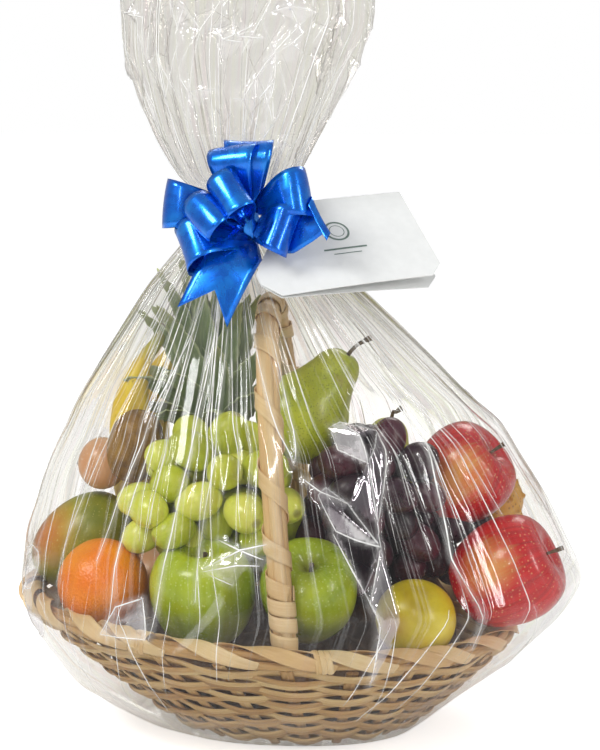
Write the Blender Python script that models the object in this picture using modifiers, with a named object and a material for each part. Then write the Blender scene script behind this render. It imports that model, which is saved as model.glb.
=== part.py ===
"""Fruit gift basket: an oval wicker basket with a bound cane handle, filled with fruit and wrapped in clear
film that is gathered above the handle and tied with a ribbon bow and a card tag.

Metres, +Z up. The origin is the middle of the flat spot that the wrapped basket stands on. The handle's arch
crosses the basket from front (-Y) to back (+Y) in the plane X = 0, and the basket's long side runs along X.
"""

import math

import bmesh
import bpy
import numpy as np
from mathutils import Matrix, Vector

# Film
FILM_WALL = 0.001
FILM_SIDES = 24

# Basket
BASKET_STANDS_AT = 0.0014
BASKET_WALL = 0.005
BASKET_SIDES = 28
BASE_HALF_LENGTH = 0.086
BASE_HALF_WIDTH = 0.064
RIM_HALF_LENGTH = 0.180
RIM_HALF_WIDTH = 0.132
RIM_SHIFT = -0.022
RIM_HEIGHT = 0.087
RIM_TILT = 0.013
RIM_RADIUS = 0.0062

# Handle
HANDLE_RADIUS = 0.0085
HANDLE_HALF_SPAN = 0.1145
HANDLE_RISE = 0.230
HANDLE_FOOT_DEPTH = 0.010
HANDLE_LEAN = -0.085
BINDING_WIDTH = 0.009
BINDING_THICK = 0.0009

# Bow and tag
RIBBON_WIDTH = 0.033
RIBBON_THICK = 0.0008
BOW_CENTRE = Vector((-0.030, -0.037, 0.376))
TIE_HEIGHT = 0.384
TAG_CENTRE = Vector((0.030, -0.024, 0.366))
TAG_WIDTH = 0.139
TAG_HEIGHT = 0.073
TAG_THICK = 0.0008
GAP = 0.0004

# Linear colours
CANE = (0.52, 0.33, 0.14)
PALE_CANE = (0.66, 0.47, 0.25)
GREEN_APPLE = (0.32, 0.50, 0.03)
RED_APPLE = (0.45, 0.02, 0.015)
RIBBON_BLUE = (0.0, 0.08, 0.55)
PINEAPPLE = (0.22, 0.20, 0.07)


def clear_scene():
    for old in list(bpy.data.objects):
        bpy.data.objects.remove(old)


def new_collection(name):
    collection = bpy.data.collections.new(name)
    bpy.context.scene.collection.children.link(collection)
    return collection


def material(name, colour, roughness=0.5, metallic=0.0):
    made = bpy.data.materials.get(name) or bpy.data.materials.new(name)
    made.use_nodes = True
    shader = made.node_tree.nodes["Principled BSDF"]
    shader.inputs["Base Color"].default_value = (*colour, 1.0)
    shader.inputs["Roughness"].default_value = roughness
    shader.inputs["Metallic"].default_value = metallic
    return made


def add_part(name, data, skin, place=None):
    """One sub-part in the basket's collection, with its material, standing at the matrix place."""
    part = bpy.data.objects.new(name, data)
    PARTS.objects.link(part)
    part.data.materials.append(skin)
    if place is not None:
        part.matrix_world = place
    return part


def smooth(part, angle=math.radians(50)):
    part.data.shade_smooth()
    part.data.set_sharp_from_angle(angle=angle)
    return part


def standing(centre, turn_x=0.0, turn_y=0.0, turn_z=0.0):
    """A place at a centre, tipped by turns in degrees about X, then Y, then Z."""
    turned = Matrix.Translation(Vector(centre))
    for degrees, axis in ((turn_z, "Z"), (turn_y, "Y"), (turn_x, "X")):
        turned = turned @ Matrix.Rotation(math.radians(degrees), 4, axis)
    return turned


def loft(name, rings, close_start=True, close_end=False):
    """A mesh through rings that all have the same number of points, each ring a closed loop."""
    mesh = bpy.data.meshes.new(name)
    build = bmesh.new()
    rows = [[build.verts.new(point) for point in ring] for ring in rings]
    sides = len(rows[0])
    for lower, upper in zip(rows, rows[1:]):
        for i in range(sides):
            j = (i + 1) % sides
            build.faces.new((lower[i], lower[j], upper[j], upper[i]))
    if close_start:
        build.faces.new(list(reversed(rows[0])))
    if close_end:
        build.faces.new(rows[-1])
    build.to_mesh(mesh)
    build.free()
    return mesh


def strip(name, left, right):
    """An open band between two rows of points."""
    mesh = bpy.data.meshes.new(name)
    build = bmesh.new()
    rows = [(build.verts.new(a), build.verts.new(b)) for a, b in zip(left, right)]
    for (a, b), (c, d) in zip(rows, rows[1:]):
        build.faces.new((a, b, d, c))
    build.to_mesh(mesh)
    build.free()
    return mesh


def thicken(part, thickness, offset):
    solidify = part.modifiers.new("thickness", "SOLIDIFY")
    solidify.thickness = thickness
    solidify.offset = offset
    solidify.use_even_offset = True
    return part


def turned(name, profile, skin, place, steps=11):
    """A turned piece: profile points (radius, height) run down its outer side from the top pole to the bottom."""
    mesh = bpy.data.meshes.new(name)
    points = [(radius, 0.0, height) for radius, height in profile]
    mesh.from_pydata(points, [(i, i + 1) for i in range(len(points) - 1)], [])
    part = add_part(name, mesh, skin, place)
    screw = part.modifiers.new("turn", "SCREW")
    screw.steps = screw.render_steps = steps
    screw.use_merge_vertices = True
    screw.merge_threshold = 0.00002
    return part


def as_mesh(part):
    """The part with its modifiers applied, or its curve turned into a mesh with its caps welded on."""
    bpy.context.view_layer.update()
    evaluated = part.evaluated_get(bpy.context.evaluated_depsgraph_get())
    mesh = bpy.data.meshes.new_from_object(evaluated)
    weld = bmesh.new()
    weld.from_mesh(mesh)
    bmesh.ops.remove_doubles(weld, verts=weld.verts, dist=0.00001)
    weld.to_mesh(mesh)
    weld.free()
    name, place = part.name, part.matrix_world.copy()
    bpy.data.objects.remove(part)
    made = bpy.data.objects.new(name, mesh)
    PARTS.objects.link(made)
    made.matrix_world = place
    return made


def joined(part, others):
    """The part with the other meshes joined to it by Boolean unions."""
    for other in others:
        union = part.modifiers.new("join " + other.name, "BOOLEAN")
        union.operation = "UNION"
        union.object = other
        PARTS.objects.unlink(other)
        HELPERS.objects.link(other)
        other.hide_render = True
        other.display_type = "WIRE"
    return part


def tube(name, points, radius, skin, radii=None, cyclic=False, sides=2):
    """A round bar along points, as a curve with a bevel and filled caps."""
    curve = bpy.data.curves.new(name, "CURVE")
    curve.dimensions = "3D"
    curve.bevel_depth = radius
    curve.bevel_resolution = sides
    curve.use_fill_caps = not cyclic
    spline = curve.splines.new("POLY")
    spline.points.add(len(points) - 1)
    for i, (point, at) in enumerate(zip(points, spline.points)):
        at.co = (*point, 1.0)
        at.radius = 1.0 if radii is None else radii[i]
    spline.use_cyclic_u = cyclic
    return add_part(name, curve, skin)


# Basket ---------------------------------------------------------------------------------------------------


def rim_point(angle, outward=0.0, lift=0.0):
    """A point on the basket's rim, which sits higher at the left end than at the right."""
    return Vector(
        (
            RIM_SHIFT + (RIM_HALF_LENGTH + outward) * math.cos(angle),
            (RIM_HALF_WIDTH + outward) * math.sin(angle),
            RIM_HEIGHT - RIM_TILT * math.cos(angle) + lift,
        )
    )


def basket_point(angle, share, inset=0.0):
    """A point on the basket's wall, from the base's edge (share 0) to under the rim (share 1)."""
    base = Vector((BASE_HALF_LENGTH * math.cos(angle), BASE_HALF_WIDTH * math.sin(angle), BASKET_STANDS_AT))
    rim = rim_point(angle, lift=-RIM_RADIUS - GAP)
    flat = base.lerp(rim, share**0.92)
    inward = Vector((math.cos(angle), math.sin(angle), 0.0)) * inset
    return Vector((flat.x, flat.y, base.z + (rim.z - base.z) * share)) - inward


def around(sides):
    return [2 * math.pi * i / sides for i in range(sides)]


def make_basket():
    """The bowl: its outer face up to the rim, the flat top edge and its inner face down to the floor."""
    faces = [(0.0, 0.0), (0.2, 0.0), (0.45, 0.0), (0.72, 0.0), (1.0, 0.0)]
    faces += [(1.0, BASKET_WALL), (0.72, BASKET_WALL), (0.4, BASKET_WALL), (0.1, BASKET_WALL)]
    rings = [[basket_point(angle, share, inset) for angle in around(BASKET_SIDES)] for share, inset in faces]
    skin = material("cane", CANE, 0.6)
    smooth(add_part("basket_body", loft("basket_body", rings, True, True), skin))
    rim = [rim_point(angle) for angle in around(36)]
    tube("basket_rim", rim, RIM_RADIUS, skin, cyclic=True, sides=1)


# Handle ---------------------------------------------------------------------------------------------------


def handle_point(turn):
    """A point on the handle's centre line, from the front foot (turn 0) over the top to the back foot (turn 1)."""
    angle = math.pi * turn
    rise = HANDLE_RISE * math.sin(angle) ** 0.86
    return Vector((HANDLE_LEAN * rise, -HANDLE_HALF_SPAN * math.cos(angle), RIM_HEIGHT + rise))


def handle_line(count):
    arch = [handle_point(i / count) for i in range(count + 1)]
    feet = [point - Vector((0, 0, HANDLE_FOOT_DEPTH)) for point in (arch[0], arch[-1])]
    return [feet[0], *arch, feet[1]]


def make_handle():
    """The cane arch stands just inside the rim, and one flat strip is wound round it in an open spiral."""
    tube("handle", handle_line(22), HANDLE_RADIUS, material("handle cane", PALE_CANE, 0.5))
    turns, steps = 13, 6
    low, high = [], []
    for i in range(turns * steps + 1):
        share = i / (turns * steps)
        here = 0.05 + 0.90 * share
        centre = handle_point(here)
        along = (handle_point(here + 0.002) - handle_point(here - 0.002)).normalized()
        side = Vector((1.0, 0.0, 0.0)) - along * along.x
        side.normalize()
        up = along.cross(side)
        spin = 2 * math.pi * i / steps
        outward = side * math.cos(spin) + up * math.sin(spin)
        middle = centre + outward * (HANDLE_RADIUS / math.cos(math.pi / steps) + 2 * GAP)
        low.append(middle - along * BINDING_WIDTH / 2)
        high.append(middle + along * BINDING_WIDTH / 2)
    mesh = strip("handle_binding", low, high)
    thicken(add_part("handle_binding", mesh, material("binding", PALE_CANE, 0.45)), BINDING_THICK, -1.0)


# Fruit ----------------------------------------------------------------------------------------------------


def apple_profile(radius, half_height, stem=0.016, cavity=0.55):
    """Down from the stem's tip into the cavity, over the shoulder, round the cheek and into the calyx."""
    stem_radius = 0.0014
    pit = half_height * (1 - cavity)
    points = [(0.0, half_height + stem * 0.35), (stem_radius, half_height + stem * 0.35), (stem_radius, pit)]
    points.append((radius * 0.12, pit + half_height * 0.16))
    for step in range(8):
        angle = math.radians(62 - step * 19)
        bulge = 1 + 0.06 * math.sin(angle)
        reach = radius * (0.30 + 0.70 * math.cos(angle)) * bulge
        points.append((reach, half_height * math.sin(angle) * 1.03))
    points.append((radius * 0.16, -half_height * 0.90))
    points.append((0.0, -half_height * 0.80))
    return points


def make_apple(name, centre, radius, half_height, skin, turn_x=0.0, turn_y=0.0, stem=0.016):
    place = standing(centre, turn_x, turn_y)
    return smooth(turned(name, apple_profile(radius, half_height, stem), skin, place))


# Share of the length and share of the radius, from a pear's shoulder down to its eye
PEAR_OUTLINE = [
    (1.00, 0.16), (0.97, 0.34), (0.90, 0.47), (0.79, 0.54), (0.66, 0.66), (0.52, 0.86),
    (0.38, 0.99), (0.25, 0.97), (0.12, 0.78), (0.03, 0.44), (0.0, 0.2),
]


def pear_profile(radius, length, stem):
    """A pear from its stem's tip to its eye: a narrow neck over a wide belly."""
    stem_radius = 0.0016
    points = [(0.0, length + stem), (stem_radius, length + stem), (stem_radius, length * 0.985)]
    points += [(radius * wide, length * high) for high, wide in PEAR_OUTLINE]
    return points + [(0.0, length * 0.02)]


def make_pear(name, centre, radius, length, skin, turn_x=0.0, turn_y=0.0, stem=0.02):
    return smooth(turned(name, pear_profile(radius, length, stem), skin, standing(centre, turn_x, turn_y)))


def make_round(name, centre, half_sizes, skin, turn_x=0.0, turn_y=0.0, turn_z=0.0, relief=None, rings=8):
    """A fruit from a sphere, drawn out to its half sizes; relief(direction) scales its surface."""
    mesh = bpy.data.meshes.new(name)
    build = bmesh.new()
    bmesh.ops.create_uvsphere(build, u_segments=12, v_segments=rings, radius=1.0)
    for vert in build.verts:
        away = vert.co.normalized()
        scale = 1.0 if relief is None else relief(away)
        vert.co = Vector([part * half * scale for part, half in zip(away, half_sizes)])
    build.to_mesh(mesh)
    build.free()
    return smooth(add_part(name, mesh, skin, standing(centre, turn_x, turn_y, turn_z)))


def mango_relief(away):
    """Full at the stem end (+X and up) and drawn in a little towards the beak."""
    return 1.0 + 0.05 * away.x - 0.04 * away.z * away.x


def quince_relief(away):
    """Five soft ribs that are strongest at the top, with a flattened crown."""
    ribs = 0.02 * math.cos(5 * math.atan2(away.y, away.x)) * max(0.0, away.z)
    return 1.0 + ribs - 0.08 * max(0.0, away.z) ** 4


def knobbly_relief(away):
    """Rows of blunt knobs round the fruit."""
    turn = math.atan2(away.y, away.x)
    return 1.0 + 0.05 * math.cos(7 * turn + 3 * away.z) * math.cos(6 * away.z)


def make_banana(name, start, middle, end, radius):
    """A banana along the parabola through three points, blunt at the lower end and drawn out to its stalk."""
    start, middle, end = Vector(start), Vector(middle), Vector(end)
    pull = 2 * middle - (start + end) / 2
    count = 11
    points, radii = [], []
    for i in range(count + 1):
        t = i / count
        points.append(start * (1 - t) ** 2 + pull * 2 * t * (1 - t) + end * t * t)
        body = min(1.0, 0.35 + 5.0 * t) * min(1.0, 0.42 + 3.0 * (1 - t) ** 1.4)
        radii.append(body)
    skin = material("banana", (0.80, 0.52, 0.03), 0.45)
    return tube(name, points, radius, skin, radii=radii, sides=2)


def grape_bunch(name, lobes, grape, colour):
    """A bunch out to its uneven outline: grapes spread evenly over each lobe, closed up into one solid."""
    build = bmesh.new()
    golden = math.pi * (3 - math.sqrt(5))
    for centre, half_sizes, count in lobes:
        middle, sizes = Vector(centre), Vector(half_sizes)
        inner = [size - grape * 0.75 for size in sizes]
        core = Matrix.Translation(middle) @ Matrix.Diagonal((*inner, 1.0))
        bmesh.ops.create_icosphere(build, subdivisions=2, radius=1.0, matrix=core)
        for i in range(count):
            level = 1 - 2 * (i + 0.5) / count
            ring, turn = math.sqrt(1 - level * level), golden * i
            away = Vector((ring * math.cos(turn), ring * math.sin(turn), level))
            at = middle + Vector([a * (size - grape) for a, size in zip(away, sizes)])
            bmesh.ops.create_icosphere(build, subdivisions=2, radius=grape, matrix=Matrix.Translation(at))
    mesh = bpy.data.meshes.new(name)
    build.to_mesh(mesh)
    build.free()
    bunch = add_part(name, mesh, material(name, colour, 0.3))
    closed = bunch.modifiers.new("close up", "REMESH")
    closed.mode = "VOXEL"
    closed.voxel_size = 0.006
    fewer = bunch.modifiers.new("fewer faces", "DECIMATE")
    fewer.ratio = 0.13
    return bunch


def pineapple_leaf(name, base, lean, spin, length, width):
    """One stiff crown leaf: a keeled blade that leaves the core steeply and bends outwards to its point."""
    out = Vector((math.cos(spin), math.sin(spin), 0.0))
    side = Vector((-math.sin(spin), math.cos(spin), 0.0))
    rings = []
    for i in range(3):
        t = i / 2
        bend = lean * (0.55 + 0.45 * t)
        at = Vector(base) + out * (length * t * math.sin(bend)) + Vector((0, 0, length * t * math.cos(bend)))
        half = width / 2 * (1 - 0.80 * t**2)
        thick = 0.0030 * (1 - 0.6 * t)
        back = out * math.cos(bend) - Vector((0, 0, math.sin(bend)))
        rings.append([at - side * half, at + back * thick, at + side * half, at - back * thick])
    return add_part(name, loft(name, rings, True, True), material("pineapple", PINEAPPLE, 0.6))


def make_pineapple(centre, radius, half_height, lean_forward, lean_right):
    """The fruit and its crown are one piece: tiers of leaves join a tall core on top of the barrel-shaped body."""
    skin = material("pineapple", PINEAPPLE, 0.6)
    place = standing(centre, lean_forward, lean_right)
    profile = []
    for i in range(8):
        angle = math.pi * i / 7
        profile.append((radius * (math.sin(angle) ** 0.62 if 0 < i < 7 else 0.0), half_height * math.cos(angle)))
    body = as_mesh(turned("pineapple", profile, skin, place, steps=12))
    top = place @ Matrix.Translation((0, 0, half_height))
    core_profile = [(0.0, 0.110), (0.005, 0.106), (0.010, 0.060), (0.013, 0.010), (0.013, -0.012), (0.0, -0.012)]
    core = as_mesh(turned("crown_core", core_profile, skin, top, steps=7))
    leaves = []
    tiers = [(4, 1.00, 0.040, 0.010), (4, 0.90, 0.046, 0.034), (3, 0.75, 0.048, 0.058), (3, 0.50, 0.046, 0.082)]
    for tier, (count, bend, length, rise) in enumerate(tiers):
        for i in range(count):
            spin = 2 * math.pi * i / count + 0.7 * tier + 0.06 * i
            base = Vector((math.cos(spin), math.sin(spin), 0)) * 0.005 + Vector((0, 0, rise))
            leaf = pineapple_leaf(f"leaf_{tier}_{i}", base, bend + 0.03 * i, spin, length, 0.018)
            leaf.matrix_world = top
            leaves.append(leaf)
    return joined(body, [core, *leaves])


def make_fruit():
    green = material("green apple", GREEN_APPLE, 0.3)
    red = material("red apple", RED_APPLE, 0.28)
    pear = material("pear", (0.45, 0.47, 0.02), 0.45)
    husk = material("granadilla", (0.42, 0.16, 0.03), 0.5)
    make_apple("green_apple_left", (-0.064, -0.066, 0.114), 0.0385, 0.036, green, turn_x=12)
    make_apple("green_apple_right", (0.013, -0.064, 0.116), 0.0355, 0.034, green, turn_x=30, stem=0.010)
    make_apple("red_apple_front", (0.156, -0.032, 0.124), 0.0395, 0.038, red, turn_x=10, turn_y=58, stem=0.030)
    make_apple("red_apple_back", (0.128, 0.004, 0.193), 0.0365, 0.034, red, turn_x=10, turn_y=45, stem=0.022)
    make_pear("pear_front", (-0.011, 0.006, 0.205), 0.036, 0.089, pear, turn_y=33)
    make_pear("pear_back", (0.060, 0.062, 0.135), 0.033, 0.086, pear, turn_y=6, stem=0.008)
    orange = material("orange", (0.86, 0.22, 0.01), 0.45)
    make_round("orange", (-0.140, -0.050, 0.115), (0.033, 0.033, 0.034), orange)
    make_round("granadilla_front", (-0.111, 0.012, 0.100), (0.026, 0.026, 0.028), husk)
    make_round("granadilla_back", (-0.157, 0.004, 0.195), (0.0185, 0.0185, 0.020), husk)
    make_round(
        "mango", (-0.166, 0.008, 0.134), (0.043, 0.033, 0.036),
        material("mango", (0.42, 0.34, 0.04), 0.4), turn_y=-40, relief=mango_relief,
    )
    make_round(
        "quince", (0.090, -0.066, 0.098), (0.029, 0.029, 0.028),
        material("quince", (0.68, 0.50, 0.02), 0.4), relief=quince_relief,
    )
    make_round(
        "kiwi", (-0.121, -0.010, 0.211), (0.021, 0.021, 0.028),
        material("kiwi", (0.20, 0.11, 0.03), 0.9), turn_y=14,
    )
    make_round(
        "knobbly_fruit", (0.150, 0.052, 0.160), (0.024, 0.024, 0.026),
        material("knobbly fruit", (0.55, 0.36, 0.04), 0.6), relief=knobbly_relief,
    )
    make_banana("banana_front", (-0.124, 0.040, 0.158), (-0.143, 0.036, 0.222), (-0.113, 0.036, 0.284), 0.0155)
    make_banana("banana_back", (-0.112, 0.076, 0.160), (-0.122, 0.074, 0.216), (-0.101, 0.066, 0.276), 0.0155)
    make_pineapple((-0.068, 0.052, 0.142), 0.043, 0.064, 10, 1)
    grape_bunch(
        "green_grapes",
        [
            ((-0.058, -0.030, 0.200), (0.050, 0.034, 0.040), 24),
            ((-0.094, -0.044, 0.168), (0.032, 0.028, 0.026), 10),
            ((-0.012, -0.044, 0.178), (0.026, 0.024, 0.026), 10),
            ((-0.044, -0.018, 0.160), (0.028, 0.024, 0.030), 8),
        ],
        0.0125,
        (0.42, 0.52, 0.05),
    )
    grape_bunch(
        "dark_grapes",
        [
            ((0.060, -0.030, 0.197), (0.040, 0.032, 0.038), 20),
            ((0.055, -0.018, 0.150), (0.046, 0.034, 0.036), 20),
        ],
        0.0125,
        (0.045, 0.012, 0.025),
    )


def make_packing():
    """Crumpled packing paper that fills the bowl and heaps up under the fruit at the back."""
    rings = []
    for share in (0.14, 0.40, 0.62):
        rings.append([basket_point(angle, share, BASKET_WALL + 0.003) for angle in around(18)])
    for x, y, half_x, half_y, level in (
        (0.032, 0.030, 0.092, 0.060, 0.076),
        (0.045, 0.038, 0.066, 0.046, 0.102),
        (0.050, 0.040, 0.036, 0.026, 0.114),
    ):
        turn = [(math.cos(angle), math.sin(angle)) for angle in around(18)]
        rings.append([Vector((x + half_x * c, y + half_y * s, level)) for c, s in turn])
    for ring, crumple in zip(rings, (0.0, 0.02, 0.03, 0.06, 0.08, 0.0)):
        for i, point in enumerate(ring):
            point.z += 0.0015 - point.z * crumple * math.cos(2.3 * i) ** 2
    mesh = loft("packing", rings, True, True)
    return add_part("packing", mesh, material("packing paper", (0.20, 0.13, 0.07), 0.9))


# Film -----------------------------------------------------------------------------------------------------

# Height, left side, right side, half depth and ruffle of the film's outline, from the floor to its top edge.
FILM_OUTLINE = [
    (0.000, -0.092, 0.092, 0.068, 0.000),
    (0.014, -0.148, 0.124, 0.096, 0.000),
    (0.050, -0.200, 0.170, 0.136, 0.000),
    (0.092, -0.216, 0.203, 0.150, 0.000),
    (0.118, -0.216, 0.217, 0.150, 0.000),
    (0.155, -0.210, 0.203, 0.143, 0.000),
    (0.200, -0.192, 0.176, 0.131, 0.002),
    (0.245, -0.170, 0.143, 0.114, 0.006),
    (0.290, -0.147, 0.098, 0.088, 0.014),
    (0.330, -0.122, 0.052, 0.052, 0.030),
    (0.362, -0.090, 0.006, 0.030, 0.045),
    (0.384, -0.066, -0.012, 0.020, 0.050),
    (0.397, -0.066, -0.012, 0.020, 0.050),
    (0.420, -0.092, 0.008, 0.022, 0.060),
    (0.470, -0.120, 0.034, 0.025, 0.080),
    (0.530, -0.127, 0.053, 0.027, 0.100),
    (0.574, -0.122, 0.048, 0.028, 0.100),
]


def film_ring(height, left, right, half_depth, ruffle, inset=0.0):
    """One level of the film: an oval that is a little squarer round the basket than round the neck."""
    middle, half = (left + right) / 2, (right - left) / 2
    square = 0.86 if height < 0.3 else 1.0
    top_slope = -0.030 if height > 0.57 else 0.0
    ring = []
    for angle in around(FILM_SIDES):
        across, deep = math.cos(angle), math.sin(angle)
        reach = 1 + ruffle * math.cos(6 * angle)
        x = middle + (half * reach - inset) * math.copysign(abs(across) ** square, across)
        y = (half_depth * reach - inset) * math.copysign(abs(deep) ** square, deep)
        ring.append(Vector((x, y, height + top_slope * across)))
    return ring


def make_film():
    """One sheet of film: a flat foot, a full body, the gathered neck and the open flared top."""
    rings = [film_ring(*level) for level in FILM_OUTLINE]
    inner = [film_ring(*level, inset=FILM_WALL) for level in reversed(FILM_OUTLINE)]
    for point in inner[-1]:
        point.z += FILM_WALL
    skin = material("clear film", (0.85, 0.86, 0.85), 0.1)
    return smooth(add_part("film", loft("film", rings + inner, True, True), skin))


# Bow and tag ----------------------------------------------------------------------------------------------


def ribbon_strip(name, centre_line, across, half_widths, notch=0.0):
    """A ribbon along a centre line; a notch pulls in the middle of its end for a swallowtail."""
    mesh = bpy.data.meshes.new(name)
    build = bmesh.new()
    rows = []
    for i, (at, half) in enumerate(zip(centre_line, half_widths)):
        centre = Vector(at)
        if i == len(centre_line) - 1:
            centre = centre.lerp(Vector(centre_line[-2]), notch)
        edges = (Vector(at) - across * half, centre, Vector(at) + across * half)
        rows.append([build.verts.new(edge) for edge in edges])
    for lower, upper in zip(rows, rows[1:]):
        for i in (0, 1):
            build.faces.new((lower[i], lower[i + 1], upper[i + 1], upper[i]))
    build.to_mesh(mesh)
    build.free()
    part = add_part(name, mesh, material("ribbon", RIBBON_BLUE, 0.25, 0.7))
    return as_mesh(thicken(part, RIBBON_THICK, 0.0))


def ribbon_loop(name, root, direction, across, length, fullness=0.40):
    """One loop of ribbon, out from its root along its direction and back again."""
    ahead = Vector(direction).normalized()
    side = Vector(across) - ahead * Vector(across).dot(ahead)
    side.normalize()
    depth = ahead.cross(side)
    count = 8
    left, right = [], []
    for i in range(count + 1):
        t = i / count
        reach = length * math.sin(math.pi * t) ** 0.8
        open_by = length * fullness * math.sin(2 * math.pi * t) * 0.6 + 0.0014 * (1 - 2 * t)
        half = RIBBON_WIDTH / 2 * (0.15 + 0.85 * math.sin(math.pi * t) ** 0.55)
        at = BOW_CENTRE + Vector(root) + ahead * reach + depth * open_by
        left.append(at - side * half)
        right.append(at + side * half)
    loop = add_part(name, strip(name, left, right), material("ribbon", RIBBON_BLUE, 0.25, 0.7))
    return as_mesh(thicken(loop, RIBBON_THICK, 0.0))


# Name, root from the bow's centre, direction, direction of the ribbon's width, length
BOW_LOOPS = [
    ("top_front", (-0.001, -0.002, 0.011), (-0.18, -0.20, 1.0), (0.95, -0.20, -0.16), 0.046),
    ("top_back", (0.001, 0.000, 0.011), (0.00, 0.02, 1.0), (0.97, 0.05, -0.18), 0.048),
    ("upper_right", (0.005, -0.002, 0.014), (0.80, -0.45, 0.28), (0.12, 0.10, 1.0), 0.042),
    ("right", (0.005, -0.003, 0.000), (0.65, -0.75, 0.00), (0.35, 0.20, 0.90), 0.038),
    ("upper_left", (-0.006, -0.002, 0.011), (-0.97, -0.15, 0.12), (0.05, 0.10, 1.0), 0.051),
    ("lower_left", (-0.005, -0.003, -0.006), (-0.85, -0.50, -0.07), (0.05, 0.55, 0.80), 0.050),
    ("inner_left", (-0.004, -0.004, 0.002), (-0.55, -0.80, 0.20), (0.75, -0.30, -0.60), 0.044),
    ("centre", (-0.001, -0.004, 0.006), (-0.20, -0.80, 0.50), (0.45, 0.30, -0.80), 0.041),
]


def make_bow():
    """A pull bow: one wide ribbon whose loops fan out from the knot, with a side end and a hanging tail."""
    knot = bpy.data.meshes.new("bow")
    build = bmesh.new()
    shape = Matrix.Diagonal((0.010, 0.0075, 0.018, 1.0))
    bmesh.ops.create_uvsphere(build, u_segments=6, v_segments=5, radius=1.0, matrix=shape)
    build.to_mesh(knot)
    build.free()
    bow = add_part("bow", knot, material("ribbon", RIBBON_BLUE, 0.25, 0.7), Matrix.Translation(BOW_CENTRE))
    loops = [ribbon_loop("loop_" + name, *sizes) for name, *sizes in BOW_LOOPS]
    half = RIBBON_WIDTH / 2
    tail_path = [(-0.032, -0.040, 0.372), (-0.039, -0.064, 0.360), (-0.046, -0.075, 0.346), (-0.052, -0.081, 0.333)]
    tail_path.append((-0.058, -0.085, 0.319))
    tail_side = Vector((0.92, 0.05, -0.38)).normalized()
    tail = ribbon_strip("tail", tail_path, tail_side, (0.004, half * 0.8, half, half, half), notch=0.9)
    end_path = [(-0.026, -0.040, 0.372), (-0.010, -0.052, 0.371), (0.006, -0.058, 0.380), (0.016, -0.060, 0.387)]
    end_path += [(0.021, -0.066, 0.388), (0.019, -0.072, 0.383)]
    end_side = Vector((-0.45, 0.40, 0.80)).normalized()
    widths = (0.004, half * 0.6, half * 0.75, half * 0.7, half * 0.6, half * 0.55)
    side_end = ribbon_strip("side_end", end_path, end_side, widths)
    return joined(bow, [*loops, tail, side_end])


def make_tie():
    """A band of ribbon pulled tight round the film's neck, behind the bow."""
    neck = [level for level in FILM_OUTLINE if level[0] == TIE_HEIGHT][0]
    rings = []
    for inset, lift in ((-0.0018, 0.001), (-0.0018, 0.012), (-0.0006, 0.012), (-0.0006, 0.001)):
        rings.append([point + Vector((0, 0, lift)) for point in film_ring(*neck, inset=inset)])
    mesh = loft("bow_tie", rings + [rings[0]], False, False)
    return add_part("bow_tie", mesh, material("ribbon", RIBBON_BLUE, 0.25, 0.7))


def make_tag():
    """A folded card with cut corners that opens like a book, from a fold at its left end behind the bow."""
    wide, tall, clip = TAG_WIDTH / 2, TAG_HEIGHT / 2, 0.011
    corners = [
        (-wide + 0.048, tall), (-wide, -tall + 0.018), (-wide, -tall + clip), (-wide + clip, -tall),
        (wide - clip, -tall), (wide, -tall + clip), (wide, tall),
    ]
    across = Vector((0.897, 0.436, 0.059)).normalized()
    up = Vector((-0.363, 0.680, 0.636))
    up = (up - across * up.dot(across)).normalized()
    place = Matrix((across, up, across.cross(up))).transposed().to_4x4()
    place.translation = TAG_CENTRE
    rings = [[Vector((x, y, level)) for x, y in corners] for level in (-TAG_THICK, 0.0)]
    paper = material("card", (0.78, 0.78, 0.76), 0.7)
    front = add_part("tag", loft("tag", [list(reversed(ring)) for ring in rings], True, True), paper, place)
    hinge = Matrix.Translation((-wide, 0, 0)) @ Matrix.Rotation(math.radians(5), 4, "Y")
    hinge = hinge @ Matrix.Translation((wide, 0, -TAG_THICK / 2))
    back = add_part("tag_back", front.data.copy(), paper, place @ hinge)
    return joined(front, [back])


clear_scene()
PARTS = new_collection("fruit gift basket")
HELPERS = new_collection("helpers")
make_basket()
make_handle()
make_packing()
make_fruit()
make_film()
make_tie()
make_bow()
make_tag()
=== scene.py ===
"""A wrapped fruit gift basket: a woven cane basket with a bound handle, heaped with whole
fruit, under a clear film that is gathered above it and tied with a pull bow and a tag."""

import math

import bmesh
import bpy
import numpy as np
from mathutils import Matrix, Vector, noise


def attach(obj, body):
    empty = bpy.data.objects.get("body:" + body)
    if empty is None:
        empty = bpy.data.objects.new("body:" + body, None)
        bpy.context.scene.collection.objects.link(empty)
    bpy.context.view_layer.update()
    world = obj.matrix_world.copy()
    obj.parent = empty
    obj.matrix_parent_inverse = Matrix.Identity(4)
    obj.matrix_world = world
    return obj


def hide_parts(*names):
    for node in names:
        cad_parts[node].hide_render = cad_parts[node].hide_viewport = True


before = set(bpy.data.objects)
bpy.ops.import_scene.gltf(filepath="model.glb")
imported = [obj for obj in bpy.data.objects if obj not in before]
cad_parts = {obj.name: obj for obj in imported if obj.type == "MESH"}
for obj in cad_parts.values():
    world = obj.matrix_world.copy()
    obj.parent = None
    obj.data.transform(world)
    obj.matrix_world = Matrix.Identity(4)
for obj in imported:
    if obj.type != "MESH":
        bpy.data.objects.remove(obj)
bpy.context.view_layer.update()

scene = bpy.context.scene

# ---------------------------------------------------------------------------------------
# Studio: a white sweep of paper on the floor, a large soft box above left, a narrow one
# on the right for the glints in the film, and an 85 mm lens a little above the fruit.
# ---------------------------------------------------------------------------------------
VIEW_TURN, VIEW_RISE, VIEW_DISTANCE = math.radians(4), math.radians(9), 1.32
VIEW_TARGET = Vector((0.002, 0, 0.2645))


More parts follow.
